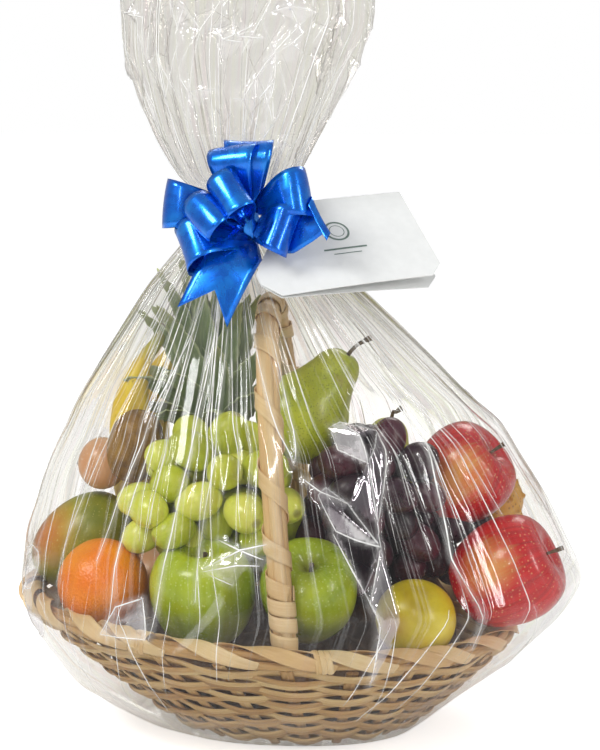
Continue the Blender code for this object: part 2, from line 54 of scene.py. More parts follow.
def node(tree, kind, inputs=None, **settings):
    """One node with its settings; an input is a value or the socket that feeds it."""
    made = tree.nodes.new(kind)
    for name, value in settings.items():
        setattr(made, name, value)
    for key, value in (inputs or {}).items():
        if isinstance(value, bpy.types.NodeSocket):
            tree.links.new(value, made.inputs[key])
        else:
            made.inputs[key].default_value = value
    return made


def linear(red, green, blue):
    """A paint colour given as 0-255 steps, in the renderer's linear light."""
    return tuple(
        ((c / 255 + 0.055) / 1.055) ** 2.4 if c > 10 else c / 3295 for c in (red, green, blue)
    ) + (1,)


camera = bpy.data.objects.new("camera", bpy.data.cameras.new("camera"))
camera.data.lens = 85
camera.data.sensor_width = 36
camera.data.clip_end = 60
camera.location = VIEW_TARGET + VIEW_DISTANCE * Vector((
    math.sin(VIEW_TURN) * math.cos(VIEW_RISE),
    -math.cos(VIEW_TURN) * math.cos(VIEW_RISE),
    math.sin(VIEW_RISE),
))
camera.rotation_euler = (VIEW_TARGET - camera.location).to_track_quat("-Z", "Y").to_euler()
scene.collection.objects.link(camera)
scene.camera = camera
scene.view_settings.view_transform = "Standard"
scene.cycles.transparent_max_bounces = 40

world = bpy.data.worlds.new("studio")
world.use_nodes = True
scene.world = world
sky = world.node_tree
sky.nodes.clear()
seen = node(sky, "ShaderNodeBackground", {"Color": (1, 1, 1, 1), "Strength": 1.0})
given = node(sky, "ShaderNodeBackground", {"Color": (0.97, 0.98, 1, 1), "Strength": 0.50})
lens = node(sky, "ShaderNodeLightPath")
air = node(
    sky, "ShaderNodeMixShader", {0: lens.outputs["Is Camera Ray"], 1: given.outputs[0], 2: seen.outputs[0]}
)
node(sky, "ShaderNodeOutputWorld", {"Surface": air.outputs[0]})

for name, place, size, power in (
    ("soft_box_left", (-1.2, -1.1, 1.7), (0.7, 0.7), 30),
    ("strip_right", (1.35, -0.9, 0.8), (0.12, 1.1), 10),
    ("strip_front", (-0.35, -1.7, 1.15), (0.06, 0.8), 6),
    ("soft_box_back", (0.3, 1.5, 1.5), (1.0, 0.6), 14),
):
    lamp = bpy.data.objects.new(name, bpy.data.lights.new(name, "AREA"))
    lamp.data.shape = "RECTANGLE"
    lamp.data.size, lamp.data.size_y = size
    lamp.data.energy = power
    lamp.location = place
    lamp.rotation_euler = (Vector((0, 0, 0.2)) - lamp.location).to_track_quat("-Z", "Y").to_euler()
    scene.collection.objects.link(lamp)

floor = bpy.data.objects.new("floor", bpy.data.meshes.new("floor"))
floor.data.from_pydata([(-20, -20, 0), (20, -20, 0), (20, 20, 0), (-20, 20, 0)], [], [(0, 1, 2, 3)])
floor_paint = bpy.data.materials.new("studio paper")
floor_paint.use_nodes = True
paint = floor_paint.node_tree
paper_shader = paint.nodes["Principled BSDF"]
paper_shader.inputs["Base Color"].default_value = (0.92, 0.92, 0.92, 1)
paper_shader.inputs["Roughness"].default_value = 0.9
paper_shader.inputs["Specular IOR Level"].default_value = 0.1
paper_shader.inputs["Emission Color"].default_value = (1, 1, 1, 1)
lit_from_below = node(
    paint, "ShaderNodeMath", {0: node(paint, "ShaderNodeLightPath").outputs["Is Camera Ray"], 1: 0.56},
    operation="MULTIPLY",
)
paint.links.new(lit_from_below.outputs[0], paper_shader.inputs["Emission Strength"])
floor.data.materials.append(floor_paint)
scene.collection.objects.link(floor)

# ---------------------------------------------------------------------------------------
# Basket: split cane woven in pairs round twenty-four flat stakes, flaring from an oval
# base to an oval rim. Each pair passes in front of one stake and behind the next.
# ---------------------------------------------------------------------------------------
BASKET_STANDS_AT = 0.0014
BASE_HALF_LENGTH, BASE_HALF_WIDTH = 0.086, 0.064
RIM_HALF_LENGTH, RIM_HALF_WIDTH, RIM_SHIFT = 0.180, 0.132, -0.022
RIM_HEIGHT, RIM_TILT, RIM_RADIUS, GAP = 0.087, 0.013, 0.0062, 0.0004
STAKES = 24
WEAVE_ROWS = 12
STRAND_WIDTH, STRAND_THICKNESS = 0.0066, 0.0019
STAKE_WIDTH, STAKE_THICKNESS = 0.0110, 0.0022
WEAVE_SWING = 0.0025


def rim_point(angle, outward=0.0, lift=0.0):
    return Vector((
        RIM_SHIFT + (RIM_HALF_LENGTH + outward) * math.cos(angle),
        (RIM_HALF_WIDTH + outward) * math.sin(angle),
        RIM_HEIGHT - RIM_TILT * math.cos(angle) + lift,
    ))


def basket_point(angle, share, inset=0.0):
    """A point of the basket's wall: share 0 at the base, 1 under the rim."""
    base = Vector((BASE_HALF_LENGTH * math.cos(angle), BASE_HALF_WIDTH * math.sin(angle), BASKET_STANDS_AT))
    rim = rim_point(angle, 0, -RIM_RADIUS - GAP)
    spot = base.lerp(rim, share**0.92)
    spot.z = base.z + (rim.z - base.z) * share
    return spot - inset * Vector((math.cos(angle), math.sin(angle), 0))


def wall_face(angle, share):
    """The direction that the wall's outside faces."""
    along = basket_point(angle + 0.01, share) - basket_point(angle - 0.01, share)
    up = basket_point(angle, min(share + 0.02, 1)) - basket_point(angle, max(share - 0.02, 0))
    return along.cross(up).normalized()


def store(mesh, **marks):
    """Keeps a number or a vector for every point of a mesh, under each given name."""
    for name, values in marks.items():
        values = np.array(values, np.float32)
        kind, field = ("FLOAT_VECTOR", "vector") if values.ndim == 2 else ("FLOAT", "value")
        mesh.attributes.new(name, kind, "POINT").data.foreach_set(field, values.ravel())


def guides(name, runs):
    """Paths as one mesh of edges. A run is (points, faces, tone, widths, closed)."""
    points, edges, faces, tones, widths = [], [], [], [], []
    for run, facing, tone, width, closed in runs:
        first = len(points)
        count = len(run)
        points += [tuple(p) for p in run]
        faces += [tuple(f) for f in facing]
        tones += [tone] * count
        widths += list(width) if hasattr(width, "__len__") else [width] * count
        edges += [(first + i, first + i + 1) for i in range(count - 1)]
        if closed:
            edges.append((first + count - 1, first))
    mesh = bpy.data.meshes.new(name)
    mesh.from_pydata(points, edges, [])
    store(mesh, face=faces, tone=tones, swell=widths)
    return mesh


def inputs_of(tree, sockets):
    """Names the tree's inputs, and returns its input and output nodes."""
    tree.interface.new_socket("Geometry", in_out="INPUT", socket_type="NodeSocketGeometry")
    tree.interface.new_socket("Geometry", in_out="OUTPUT", socket_type="NodeSocketGeometry")
    for name, kind in sockets:
        tree.interface.new_socket(name, in_out="INPUT", socket_type="NodeSocket" + kind)
    return node(tree, "NodeGroupInput").outputs, node(tree, "NodeGroupOutput").inputs


def cane_tree():
    """Lays a strip along every path, its flat side turned to the path's face."""
    tree = bpy.data.node_groups.new("lay cane", "GeometryNodeTree")
    given, out = inputs_of(
        tree, (("Width", "Float"), ("Thickness", "Float"), ("Corners", "Int"), ("Finish", "Material"))
    )
    face = node(tree, "GeometryNodeInputNamedAttribute", {"Name": "face"}, data_type="FLOAT_VECTOR")
    swell = node(tree, "GeometryNodeInputNamedAttribute", {"Name": "swell"}, data_type="FLOAT")
    path = node(tree, "GeometryNodeMeshToCurve", {"Mesh": given["Geometry"]})
    turned_path = node(tree, "GeometryNodeSetCurveNormal", {"Curve": path.outputs[0]}, mode="FREE")
    tree.links.new(face.outputs[0], turned_path.inputs["Normal"])
    spline = node(tree, "GeometryNodeSplineParameter")
    marked = node(
        tree, "GeometryNodeStoreNamedAttribute",
        {"Geometry": turned_path.outputs[0], "Name": "along", "Value": spline.outputs["Length"]},
        data_type="FLOAT", domain="POINT",
    )
    ring = node(tree, "GeometryNodeCurvePrimitiveCircle", {"Resolution": given["Corners"], "Radius": 0.5})
    girth = node(tree, "ShaderNodeCombineXYZ", {"X": given["Thickness"], "Y": given["Width"], "Z": 1.0})
    strip = node(tree, "GeometryNodeTransform", {"Geometry": ring.outputs[0], "Scale": girth.outputs[0]})
    around = node(tree, "GeometryNodeSplineParameter")
    edged = node(
        tree, "GeometryNodeStoreNamedAttribute",
        {"Geometry": strip.outputs[0], "Name": "around", "Value": around.outputs["Factor"]},
        data_type="FLOAT", domain="POINT",
    )
    laid = node(
        tree, "GeometryNodeCurveToMesh",
        {
            "Curve": marked.outputs[0], "Profile Curve": edged.outputs[0], "Scale": swell.outputs[0],
            "Fill Caps": True,
        },
    )
    smooth = node(tree, "GeometryNodeSetShadeSmooth", {"Geometry": laid.outputs[0]})
    real = node(tree, "GeometryNodeRealizeInstances", {"Geometry": smooth.outputs[0]})
    done = node(tree, "GeometryNodeSetMaterial", {"Geometry": real.outputs[0], "Material": given["Finish"]})
    tree.links.new(done.outputs[0], out["Geometry"])
    return tree


LAY_CANE = cane_tree()


def grow(name, guide, tree, **values):
    """Runs a tree over a guide mesh and keeps what it makes as a plain mesh."""
    carrier = bpy.data.objects.new(name + "_guide", guide)
    scene.collection.objects.link(carrier)
    maker = carrier.modifiers.new("make", "NODES")
    maker.node_group = tree
    for item in tree.interface.items_tree:
        if item.in_out == "INPUT" and item.name.replace(" ", "_") in values:
            maker[item.identifier] = values[item.name.replace(" ", "_")]
    seen_now = carrier.evaluated_get(bpy.context.evaluated_depsgraph_get())
    mesh = bpy.data.meshes.new_from_object(seen_now)
    bpy.data.objects.remove(carrier)
    mesh.name = name
    piece = bpy.data.objects.new(name, mesh)
    scene.collection.objects.link(piece)
    return piece


def settle(piece, slot, *replaced):
    """Every piece rides on the one body and hides what it stands for; the slot it is given is not used."""
    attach(piece, "root")
    if replaced:
        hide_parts(*replaced)
    return piece


def finish(name, roughness=0.5, **shine):
    """A new material: its node tree and its one shader."""
    material = bpy.data.materials.new(name)
    material.use_nodes = True
    shader = material.node_tree.nodes["Principled BSDF"]
    shader.inputs["Roughness"].default_value = roughness
    for key, value in shine.items():
        shader.inputs[key.replace("_", " ")].default_value = value
    return material, material.node_tree, shader


def mark(tree, name, part="Fac"):
    """A value that the mesh keeps for its points."""
    return node(tree, "ShaderNodeAttribute", attribute_name=name).outputs[part]


def place_of(tree, scale=(1, 1, 1), attribute=None):
    """Where a point lies on the piece: its own place, or a stored attribute, scaled."""
    if attribute:
        source = mark(tree, attribute, "Vector")
    else:
        source = node(tree, "ShaderNodeTexCoord").outputs["Object"]
    return node(tree, "ShaderNodeMapping", {"Vector": source, "Scale": scale}).outputs[0]


def cloud(tree, place, scale, detail=3, roughness=0.5, warp=0.0):
    return node(
        tree, "ShaderNodeTexNoise",
        {"Vector": place, "Scale": scale, "Detail": detail, "Roughness": roughness, "Distortion": warp},
    ).outputs["Fac"]


def ramp(tree, share, stops):
    """Colours or greys over 0-1; a stop is (share, colour) or (share, grey)."""
    made = node(tree, "ShaderNodeValToRGB", {0: share})
    made.color_ramp.elements[0].position = stops[0][0]
    made.color_ramp.elements[1].position = stops[-1][0]
    for position, _ in stops[1:-1]:
        made.color_ramp.elements.new(position)
    for element, (_, colour) in zip(made.color_ramp.elements, stops):
        element.color = colour if hasattr(colour, "__len__") else (colour, colour, colour, 1)
    return made.outputs["Color"]


def mixed(tree, share, first, second, blend="MIX"):
    return node(
        tree, "ShaderNodeMix", {0: share, 6: first, 7: second}, data_type="RGBA", blend_type=blend
    ).outputs[2]


def sums(tree, kind, *values):
    return node(tree, "ShaderNodeMath", dict(enumerate(values)), operation=kind).outputs[0]


def coat(tree, shader, colour, roughness=None):
    """Gives a shader its colour, and its roughness where that varies."""
    tree.links.new(colour, shader.inputs["Base Color"])
    if roughness is not None:
        tree.links.new(roughness, shader.inputs["Roughness"])


def raised(tree, shader, height, strength=0.4, distance=0.001):
    bump = node(tree, "ShaderNodeBump", {"Height": height, "Strength": strength, "Distance": distance})
    tree.links.new(bump.outputs[0], shader.inputs["Normal"])


def cane_finish(name, dark, middle, pale):
    """Split cane: long fibres, a waxy outside, and each strand a little different."""
    material, tree, shader = finish(name, 0.45, Coat_Weight=0.12, Coat_Roughness=0.3)
    along, around, tone = (mark(tree, key) for key in ("along", "around", "tone"))

    def strand_place(lengthwise, crosswise, apart):
        """Where a point lies on its strand, with every strand on its own part of the pattern."""
        spread = (
            sums(tree, "MULTIPLY", *pair)
            for pair in ((along, lengthwise), (around, crosswise), (tone, apart))
        )
        return node(tree, "ShaderNodeCombineXYZ", dict(enumerate(spread))).outputs[0]

    fibres = cloud(tree, strand_place(14.0, 9.0, 37.0), 5.0, 4, 0.6)
    patches = cloud(tree, strand_place(22.0, 1.0, 91.0), 1.0, 2)
    share = sums(tree, "ADD", sums(tree, "MULTIPLY", tone, 0.55), sums(tree, "MULTIPLY", patches, 0.55))
    base = ramp(tree, share, ((0.12, dark), (0.5, middle), (0.88, pale)))
    streaked = mixed(
        tree, ramp(tree, fibres, ((0.35, 0.0), (0.7, 1.0))), mixed(tree, 0.35, base, dark), base
    )
    coat(tree, shader, streaked, ramp(tree, fibres, ((0.3, 0.62), (0.7, 0.40))))
    raised(tree, shader, fibres, 0.35, 0.0006)
    return material


CANE = cane_finish("woven cane", linear(150, 106, 56), linear(214, 172, 110), linear(242, 216, 160))

luck = np.random.default_rng(7)
weave_runs = []
for row in range(WEAVE_ROWS):
    for half in (0, 1):
        share = 0.045 + (row + 0.27 + 0.47 * half) / WEAVE_ROWS * 0.935
        tone = float(luck.uniform(0, 1))
        phase = row * math.pi
        drift = luck.uniform(-1, 1, 3)
        run, facing = [], []
        steps = STAKES * 8
        for i in range(steps):
            a = math.tau * i / steps
            swing = math.sin(STAKES / 2 * a + phase)
            swing = math.copysign(abs(swing) ** 0.8, swing)
            waver = 0.012 * math.sin(3 * a + 5 * drift[0]) + 0.008 * math.sin(7 * a + 9 * drift[1] + row)
            droop = -0.010 * (1 - abs(math.cos(STAKES / 4 * a * 2 + phase))) * (1 - 0.4 * half)
            here = min(max(share + waver * min(1, row / 3) + droop, 0.02), 0.985)
            face = wall_face(a, here)
            run.append(basket_point(a, here) + face * (WEAVE_SWING * swing + 0.0006 * half))
            facing.append(face)
        weave_runs.append((run, facing, tone, 1.0 + 0.12 * float(luck.uniform(-1, 1)), True))
weave = grow(
    "basket_weave", guides("weave", weave_runs), LAY_CANE, Width=STRAND_WIDTH, Thickness=STRAND_THICKNESS,
    Corners=8, Finish=CANE,
)
settle(weave, "cane", "basket_body")

stake_runs = []
for stake in range(STAKES):
    a = math.tau * (stake + 0.5) / STAKES
    for aside in (-0.7, 0.7):
        shares = np.linspace(0.0, 1.0, 18)
        lean = a + aside * 0.016
        run = [basket_point(lean, float(s)) for s in shares]
        facing = [wall_face(lean, float(s)) for s in shares]
        stake_runs.append((run, facing, float(luck.uniform(0.1, 0.8)), 1.0, False))
stakes = grow(
    "basket_stakes", guides("stakes", stake_runs), LAY_CANE, Width=STAKE_WIDTH * 0.5,
    Thickness=STAKE_THICKNESS, Corners=8, Finish=CANE,
)
settle(stakes, "cane", "basket_body")

BASE_RINGS, BASE_LIFT = 11, 0.0034
base_runs = []
for ring in range(BASE_RINGS):
    reach = (ring + 1.0) / (BASE_RINGS + 0.3)
    run = []
    for i in range(STAKES * 5):
        a = math.tau * i / (STAKES * 5)
        lift = 0.0011 * math.sin(STAKES / 2 * a + ring * math.pi)
        run.append(
            Vector((
                BASE_HALF_LENGTH * reach * math.cos(a), BASE_HALF_WIDTH * reach * math.sin(a),
                BASKET_STANDS_AT + BASE_LIFT + lift,
            ))
        )
    base_runs.append((run, [(0, 0, 1)] * len(run), float(luck.uniform(0, 1)), 1.0, True))
for stake in range(STAKES // 2):
    a = math.tau * (stake + 0.5) / STAKES
    end = Vector((BASE_HALF_LENGTH * math.cos(a), BASE_HALF_WIDTH * math.sin(a), 0))
    run = [
        end * t + Vector((0, 0, BASKET_STANDS_AT + BASE_LIFT + 0.0002 * stake / 12))
        for t in np.linspace(-0.98, 0.98, 12)
    ]
    base_runs.append((run, [(0, 0, 1)] * 12, float(luck.uniform(0, 1)), 0.8, False))
base = grow(
    "basket_base", guides("base", base_runs), LAY_CANE, Width=0.0068, Thickness=0.0022, Corners=8,
    Finish=CANE,
)
settle(base, "cane", "basket_body")

# ---------------------------------------------------------------------------------------
# Rim: the stakes' broad flat ends are turned down and plaited over a bundle of four rods,
# so every strip rises from inside, crosses the top and tucks down the outside.
# ---------------------------------------------------------------------------------------
PALE_CANE = cane_finish(
    "pale split cane", linear(200, 156, 98), linear(234, 200, 146), linear(248, 226, 182)
)

rim_runs = []
for rod, (outward, lift) in enumerate(
    ((0.0028, -0.0022), (-0.0028, -0.0022), (0.0016, 0.0016), (-0.0020, 0.0018))
):
    run, facing = [], []
    for i in range(240):
        a = math.tau * i / 240
        twist = 9 * a + rod * math.pi / 2
        run.append(rim_point(a, outward + 0.0012 * math.cos(twist), lift + 0.0012 * math.sin(twist)))
        facing.append((math.cos(a), math.sin(a), 0))
    rim_runs.append((run, facing, float(luck.uniform(0.1, 0.6)), 1.0, True))
rods = grow(
    "rim_rods", guides("rods", rim_runs), LAY_CANE, Width=0.0060, Thickness=0.0050, Corners=8, Finish=CANE
)
settle(rods, "cane", "basket_rim")

plait_runs = []
for strip in range(STAKES):
    first = math.tau * (strip + 0.25) / STAKES
    reach = math.tau / STAKES * (1.75 + 0.35 * float(luck.uniform(-1, 1)))
    run, facing, widths = [], [], []
    for i in range(30):
        t = i / 29
        a = first + reach * t
        roll = math.radians(200 - 235 * t**0.85)
        swell = 0.0068 + 0.0022 * math.sin(math.pi * t)
        run.append(
            rim_point(a, swell * math.cos(roll), swell * 0.80 * math.sin(roll) + 0.0006 * (strip % 2))
        )
        facing.append((math.cos(roll) * math.cos(a), math.cos(roll) * math.sin(a), math.sin(roll)))
        widths.append(0.75 + 0.35 * math.sin(math.pi * min(1, t * 1.15)))
    plait_runs.append((run, facing, float(luck.uniform(0.1, 1)), widths, False))
plait = grow(
    "rim_plait", guides("plait", plait_runs), LAY_CANE, Width=0.0118, Thickness=0.0014, Corners=12,
    Finish=PALE_CANE,
)
settle(plait, "cane", "basket_rim")

# two short wraps of cane hold the plait where a strip was joined in
knot_runs = []
for a, tilt in ((-2.02, 0.25), (-1.30, -0.3), (1.25, 0.2), (2.4, -0.2)):
    for turn_by in range(3):
        run, facing = [], []
        for i in range(25):
            roll = math.radians(-40 + 260 * i / 24)
            here = a + (turn_by - 1) * 0.022 + tilt * 0.02 * math.sin(roll)
            run.append(rim_point(here, 0.0088 * math.cos(roll), 0.0082 * math.sin(roll)))
            facing.append(
                (math.cos(roll) * math.cos(here), math.cos(roll) * math.sin(here), math.sin(roll))
            )
        knot_runs.append((run, facing, float(luck.uniform(0.3, 1)), 1.0, False))
knots_piece = grow(
    "rim_knots", guides("knots", knot_runs), LAY_CANE, Width=0.0044, Thickness=0.0014, Corners=10,
    Finish=PALE_CANE,
)
settle(knots_piece, "cane", "basket_rim")

# ---------------------------------------------------------------------------------------
# Handle: five canes laid round a sixth, bent into a tall hoop and pushed down inside the
# wall, and bound with a broad flat strip that winds up it in open turns.
# ---------------------------------------------------------------------------------------
HANDLE_RADIUS, HANDLE_HALF_SPAN, HANDLE_RISE, HANDLE_LEAN = 0.0085, 0.1145, 0.230, -0.085
HANDLE_TURNS = 14
BIND_WIDTH, BIND_THICKNESS = 0.0130, 0.0012


def handle_point(t):
    a = math.pi * t
    rise = HANDLE_RISE * max(math.sin(a), 0.0) ** 0.86
    return Vector((HANDLE_LEAN * rise, -HANDLE_HALF_SPAN * math.cos(a), RIM_HEIGHT + rise))


def handle_frame(t):
    """Centre, and the two directions across the handle: forward along x, and outward."""
    step = 0.004
    ahead = (handle_point(min(t + step, 1)) - handle_point(max(t - step, 0))).normalized()
    side = (Vector((1, 0, 0)) - ahead * ahead.x).normalized()
    return handle_point(t), side, side.cross(ahead).normalized()


handle_runs = []
for rod in range(6):
    run, facing = [], []
    for i in range(90):
        t = 0.001 + 0.998 * i / 89
        centre, side, out = handle_frame(t)
        turn = math.tau * rod / 5 + 1.1 * t
        away = side * math.cos(turn) + out * math.sin(turn)
        run.append(centre + (away * HANDLE_RADIUS * 0.50 if rod < 5 else away * 0.0))
        facing.append(away)
    handle_runs.append(
        (run, facing, float(luck.uniform(0.2, 0.8)), 1.0 + 0.05 * float(luck.uniform(-1, 1)), False)
    )
canes = grow(
    "handle_canes", guides("canes", handle_runs), LAY_CANE, Width=0.0092, Thickness=0.0086, Corners=12,
    Finish=PALE_CANE,
)
settle(canes, "cane", "handle")


def wound(steps, turns, first_turn, stands_off, level):
    """A strip wound round the handle; level gives how far up it is at each share of the way."""
    run, facing = [], []
    for i in range(steps + 1):
        centre, side, out = handle_frame(level(i / steps))
        turn = math.tau * turns * (i / steps) + first_turn
        away = side * math.cos(turn) + out * math.sin(turn)
        run.append(centre + away * (HANDLE_RADIUS + stands_off))
        facing.append(away)
    return run, facing


BIND_STEPS, END_TURNS, END_STEPS = HANDLE_TURNS * 40, 3, 78
climb = wound(
    BIND_STEPS, HANDLE_TURNS, 0.9, 0.0006, lambda w: 0.045 + 0.91 * (w - 0.045 * math.sin(math.tau * 2 * w))
)
bind_runs = [(*climb, 0.7, [0.92 + 0.10 * math.sin(i * 0.13) for i in range(BIND_STEPS + 1)], False)]
for first, last in ((0.004, 0.044), (0.956, 0.996)):
    ends = wound(END_STEPS, END_TURNS, 0.3, 0.0010, lambda w: first + (last - first) * w)
    bind_runs.append((*ends, 0.85, 0.85, False))
binding = grow(
    "handle_binding_strip", guides("binding", bind_runs), LAY_CANE, Width=BIND_WIDTH,
    Thickness=BIND_THICKNESS, Corners=10, Finish=PALE_CANE,
)
settle(binding, "binding", "handle_binding")

# ---------------------------------------------------------------------------------------
# Packing paper: crumpled brown paper that fills the bowl and props the fruit up, pressed
# out of sight but for a few folds between them.
# ---------------------------------------------------------------------------------------
# the paper's browns are kept dark as painted shade for the gaps between the fruit
gap_shade_paper, tree, shader = finish("brown packing paper", 0.85, Specular_IOR_Level=0.2)
creases = node(
    tree, "ShaderNodeTexVoronoi", {"Vector": place_of(tree), "Scale": 55.0}, feature="DISTANCE_TO_EDGE"
).outputs["Distance"]
grain = cloud(tree, place_of(tree), 240.0, 4)
# paper browns darkened as painted shade for the gaps, lighter along the creases
shade = mixed(
    tree, ramp(tree, creases, ((0.0, 1.0), (0.14, 0.0))), linear(112, 82, 58), linear(152, 118, 88)
)
coat(tree, shader, mixed(tree, grain, shade, linear(86, 60, 42)))
raised(tree, shader, sums(tree, "ADD", creases, sums(tree, "MULTIPLY", grain, 0.2)), 0.8, 0.003)

form = bmesh.new()
form.from_mesh(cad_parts["packing"].data)
bmesh.ops.remove_doubles(form, verts=form.verts, dist=1e-6)
bmesh.ops.recalc_face_normals(form, faces=form.faces)
bmesh.ops.subdivide_edges(form, edges=form.edges, cuts=3, use_grid_fill=True)
form.normal_update()
for v in form.verts:
    fold = abs(noise.noise(v.co * 38)) + 0.5 * abs(noise.noise(v.co * 95 + Vector((3, 1, 7))))
    v.co -= v.normal * min(0.006 * fold, 0.004)
paper = bpy.data.objects.new("packing_paper", bpy.data.meshes.new("packing_paper"))
form.to_mesh(paper.data)
form.free()
paper.data.shade_smooth()
paper.data.materials.clear()
paper.data.materials.append(gap_shade_paper)
scene.collection.objects.link(paper)
settle(paper, "packing_paper", "packing")

# ---------------------------------------------------------------------------------------
# Apples: two green ones that stand at the front of the heap, and two red ones laid on
# their sides at the right, so that their stalk ends show.
# ---------------------------------------------------------------------------------------
APPLE_OUTLINE = (
    (0, -0.80), (0.10, -0.84), (0.22, -0.93), (0.40, -0.985), (0.62, -0.90), (0.82, -0.62), (0.955, -0.22),
    (1.0, 0.14),
    (0.965, 0.48), (0.83, 0.79), (0.63, 0.95), (0.42, 0.985), (0.24, 0.90), (0.11, 0.74), (0, 0.62),
)


def smooth_path(points, count):
    """Evenly spaced points on a smooth curve through the given ones."""
    given_points = np.array(points, float)
    padded = np.vstack(
        (2 * given_points[0] - given_points[1], given_points, 2 * given_points[-1] - given_points[-2])
    )
    fine = []
    for i in range(len(given_points) - 1):
        a, b, c, d = padded[i : i + 4]
        for t in np.linspace(0, 1, 12, endpoint=False):
            fine.append(
                0.5 * (
                    2 * b + (c - a) * t + (2 * a - 5 * b + 4 * c - d) * t**2 + (3 * b - a - 3 * c + d) * t**3
                )
            )
    fine = np.array(fine + [given_points[-1]])
    run = np.concatenate(([0], np.cumsum(np.linalg.norm(np.diff(fine, axis=0), axis=1))))
    at = np.linspace(0, run[-1], count)
    return np.stack([np.interp(at, run, fine[:, k]) for k in range(fine.shape[1])], axis=1)


def standing(centre, turn_x=0.0, turn_y=0.0, turn_z=0.0):
    about_z, about_y, about_x = (
        Matrix.Rotation(math.radians(turn), 4, axis)
        for turn, axis in ((turn_z, "Z"), (turn_y, "Y"), (turn_x, "X"))
    )
    return Matrix.Translation(centre) @ (about_z @ about_y @ about_x)


def put(name, points, faces, material, smooth=True, skin=None):
    """A finished mesh object at the origin, with the skin's own coordinates if given."""
    mesh = bpy.data.meshes.new(name)
    mesh.from_pydata([tuple(p) for p in points], [], [tuple(f) for f in faces])
    if skin is not None:
        store(mesh, skin=skin)
    if smooth:
        mesh.shade_smooth()
    mesh.materials.append(material)
    piece = bpy.data.objects.new(name, mesh)
    scene.collection.objects.link(piece)
    return piece


def ring_faces(around, rings, first=0):
    """The faces between closed rings of points, each ring and the next."""
    return [
        (low + i, low + (i + 1) % around, low + around + (i + 1) % around, low + around + i)
        for low in range(first, first + (rings - 1) * around, around)
        for i in range(around)
    ]


def turned(name, outline, place, material, around=72, rows=60, swell=None):
    """The closed skin of a round fruit. outline runs (radius, height) from eye to stalk."""
    profile = smooth_path(outline, rows)
    points, skin = [tuple(place @ Vector((0, 0, profile[0][1])))], [(0, 0, 0)]
    for j in range(1, rows - 1):
        share = j / (rows - 1)
        for i in range(around):
            a = math.tau * i / around
            radius, height = max(profile[j][0], 1e-4), profile[j][1]
            spot = Vector((radius * math.cos(a), radius * math.sin(a), height))
            if swell:
                spot = swell(spot, a, share)
            points.append(tuple(place @ spot))
            skin.append((math.cos(a), math.sin(a), share))
    points.append(tuple(place @ Vector((0, 0, profile[-1][1]))))
    skin.append((0, 0, 1))
    faces = [(0, 1 + (i + 1) % around, 1 + i) for i in range(around)]
    faces += ring_faces(around, rows - 2, 1)
    last = 1 + (rows - 3) * around
    faces += [(last + i, last + (i + 1) % around, len(points) - 1) for i in range(around)]
    return put(name, points, faces, material, skin=skin)


def rod(name, path, radii, material, sides=10, steps=14, section=None):
    """A closed rod along a path, its ends rounded off."""
    run = smooth_path(path, steps)
    girth = np.interp(np.linspace(0, 1, steps), np.linspace(0, 1, len(radii)), radii)
    across = None
    points, skin, faces = [], [], ring_faces(sides, steps)
    for j in range(steps):
        ahead = Vector(run[min(j + 1, steps - 1)] - run[max(j - 1, 0)]).normalized()
        if across is None:
            across = ahead.orthogonal().normalized()
        across = (across - ahead * across.dot(ahead)).normalized()
        other = ahead.cross(across)
        for i in range(sides):
            a = math.tau * i / sides
            reach = girth[j] * (section(a, j / (steps - 1)) if section else 1)
            points.append(Vector(run[j]) + across * reach * math.cos(a) + other * reach * math.sin(a))
            skin.append((math.cos(a), math.sin(a), j / (steps - 1)))
    for end, j, turn in ((0, 0, -1), (1, steps - 1, 1)):
        points.append(Vector(run[j]) + Vector(run[j] - run[j - turn]).normalized() * girth[j] * 0.25)
        skin.append((0, 0, end))
        tip = len(points) - 1
        ring = [(j * sides + i, j * sides + (i + 1) % sides) for i in range(sides)]
        faces += [(a, b, tip) if end else (b, a, tip) for a, b in ring]
    return put(name, points, faces, material, skin=skin)


def up_skin(tree):
    """How far up its own piece a point lies, from 0 at the eye to 1 at the stalk."""
    return node(tree, "ShaderNodeSeparateXYZ", {0: mark(tree, "skin", "Vector")}).outputs["Z"]


def far_from(tree, spot):
    """How far a point lies from one spot on the piece."""
    place = node(tree, "ShaderNodeTexCoord").outputs["Object"]
    return node(tree, "ShaderNodeVectorMath", {0: place, 1: spot}, operation="DISTANCE").outputs["Value"]


def speckled(tree, base, place, scale, size, colour, strength=1.0):
    """Small round pores scattered over a skin."""
    spots = node(
        tree, "ShaderNodeTexVoronoi", {"Vector": place, "Scale": scale, "Randomness": 1.0}
    ).outputs["Distance"]
    return mixed(tree, ramp(tree, spots, ((size * 0.55, strength), (size, 0.0))), base, colour), spots


def green_apple_finish():
    material, tree, shader = finish("green apple skin", 0.3, Coat_Weight=0.35, Coat_Roughness=0.12)
    skin = place_of(tree, (2.2, 2.2, 0.9), "skin")
    broad = cloud(tree, place_of(tree), 26.0, 3)
    base = ramp(
        tree, broad, ((0.3, linear(132, 160, 6)), (0.5, linear(164, 184, 12)), (0.72, linear(196, 208, 40)))
    )
    base = mixed(
        tree, ramp(tree, cloud(tree, skin, 4.0, 4), ((0.35, 0.0), (0.75, 0.45))), base, linear(186, 212, 84)
    )
    share = up_skin(tree)
    base = mixed(tree, ramp(tree, share, ((0.86, 0.0), (0.97, 0.75))), base, linear(150, 148, 60))
    base, _ = speckled(tree, base, place_of(tree), 330.0, 0.26, linear(214, 228, 140), 0.65)
    coat(tree, shader, base, ramp(tree, broad, ((0.3, 0.24), (0.7, 0.36))))
    raised(tree, shader, cloud(tree, place_of(tree), 130.0, 3), 0.08, 0.0008)
    return material


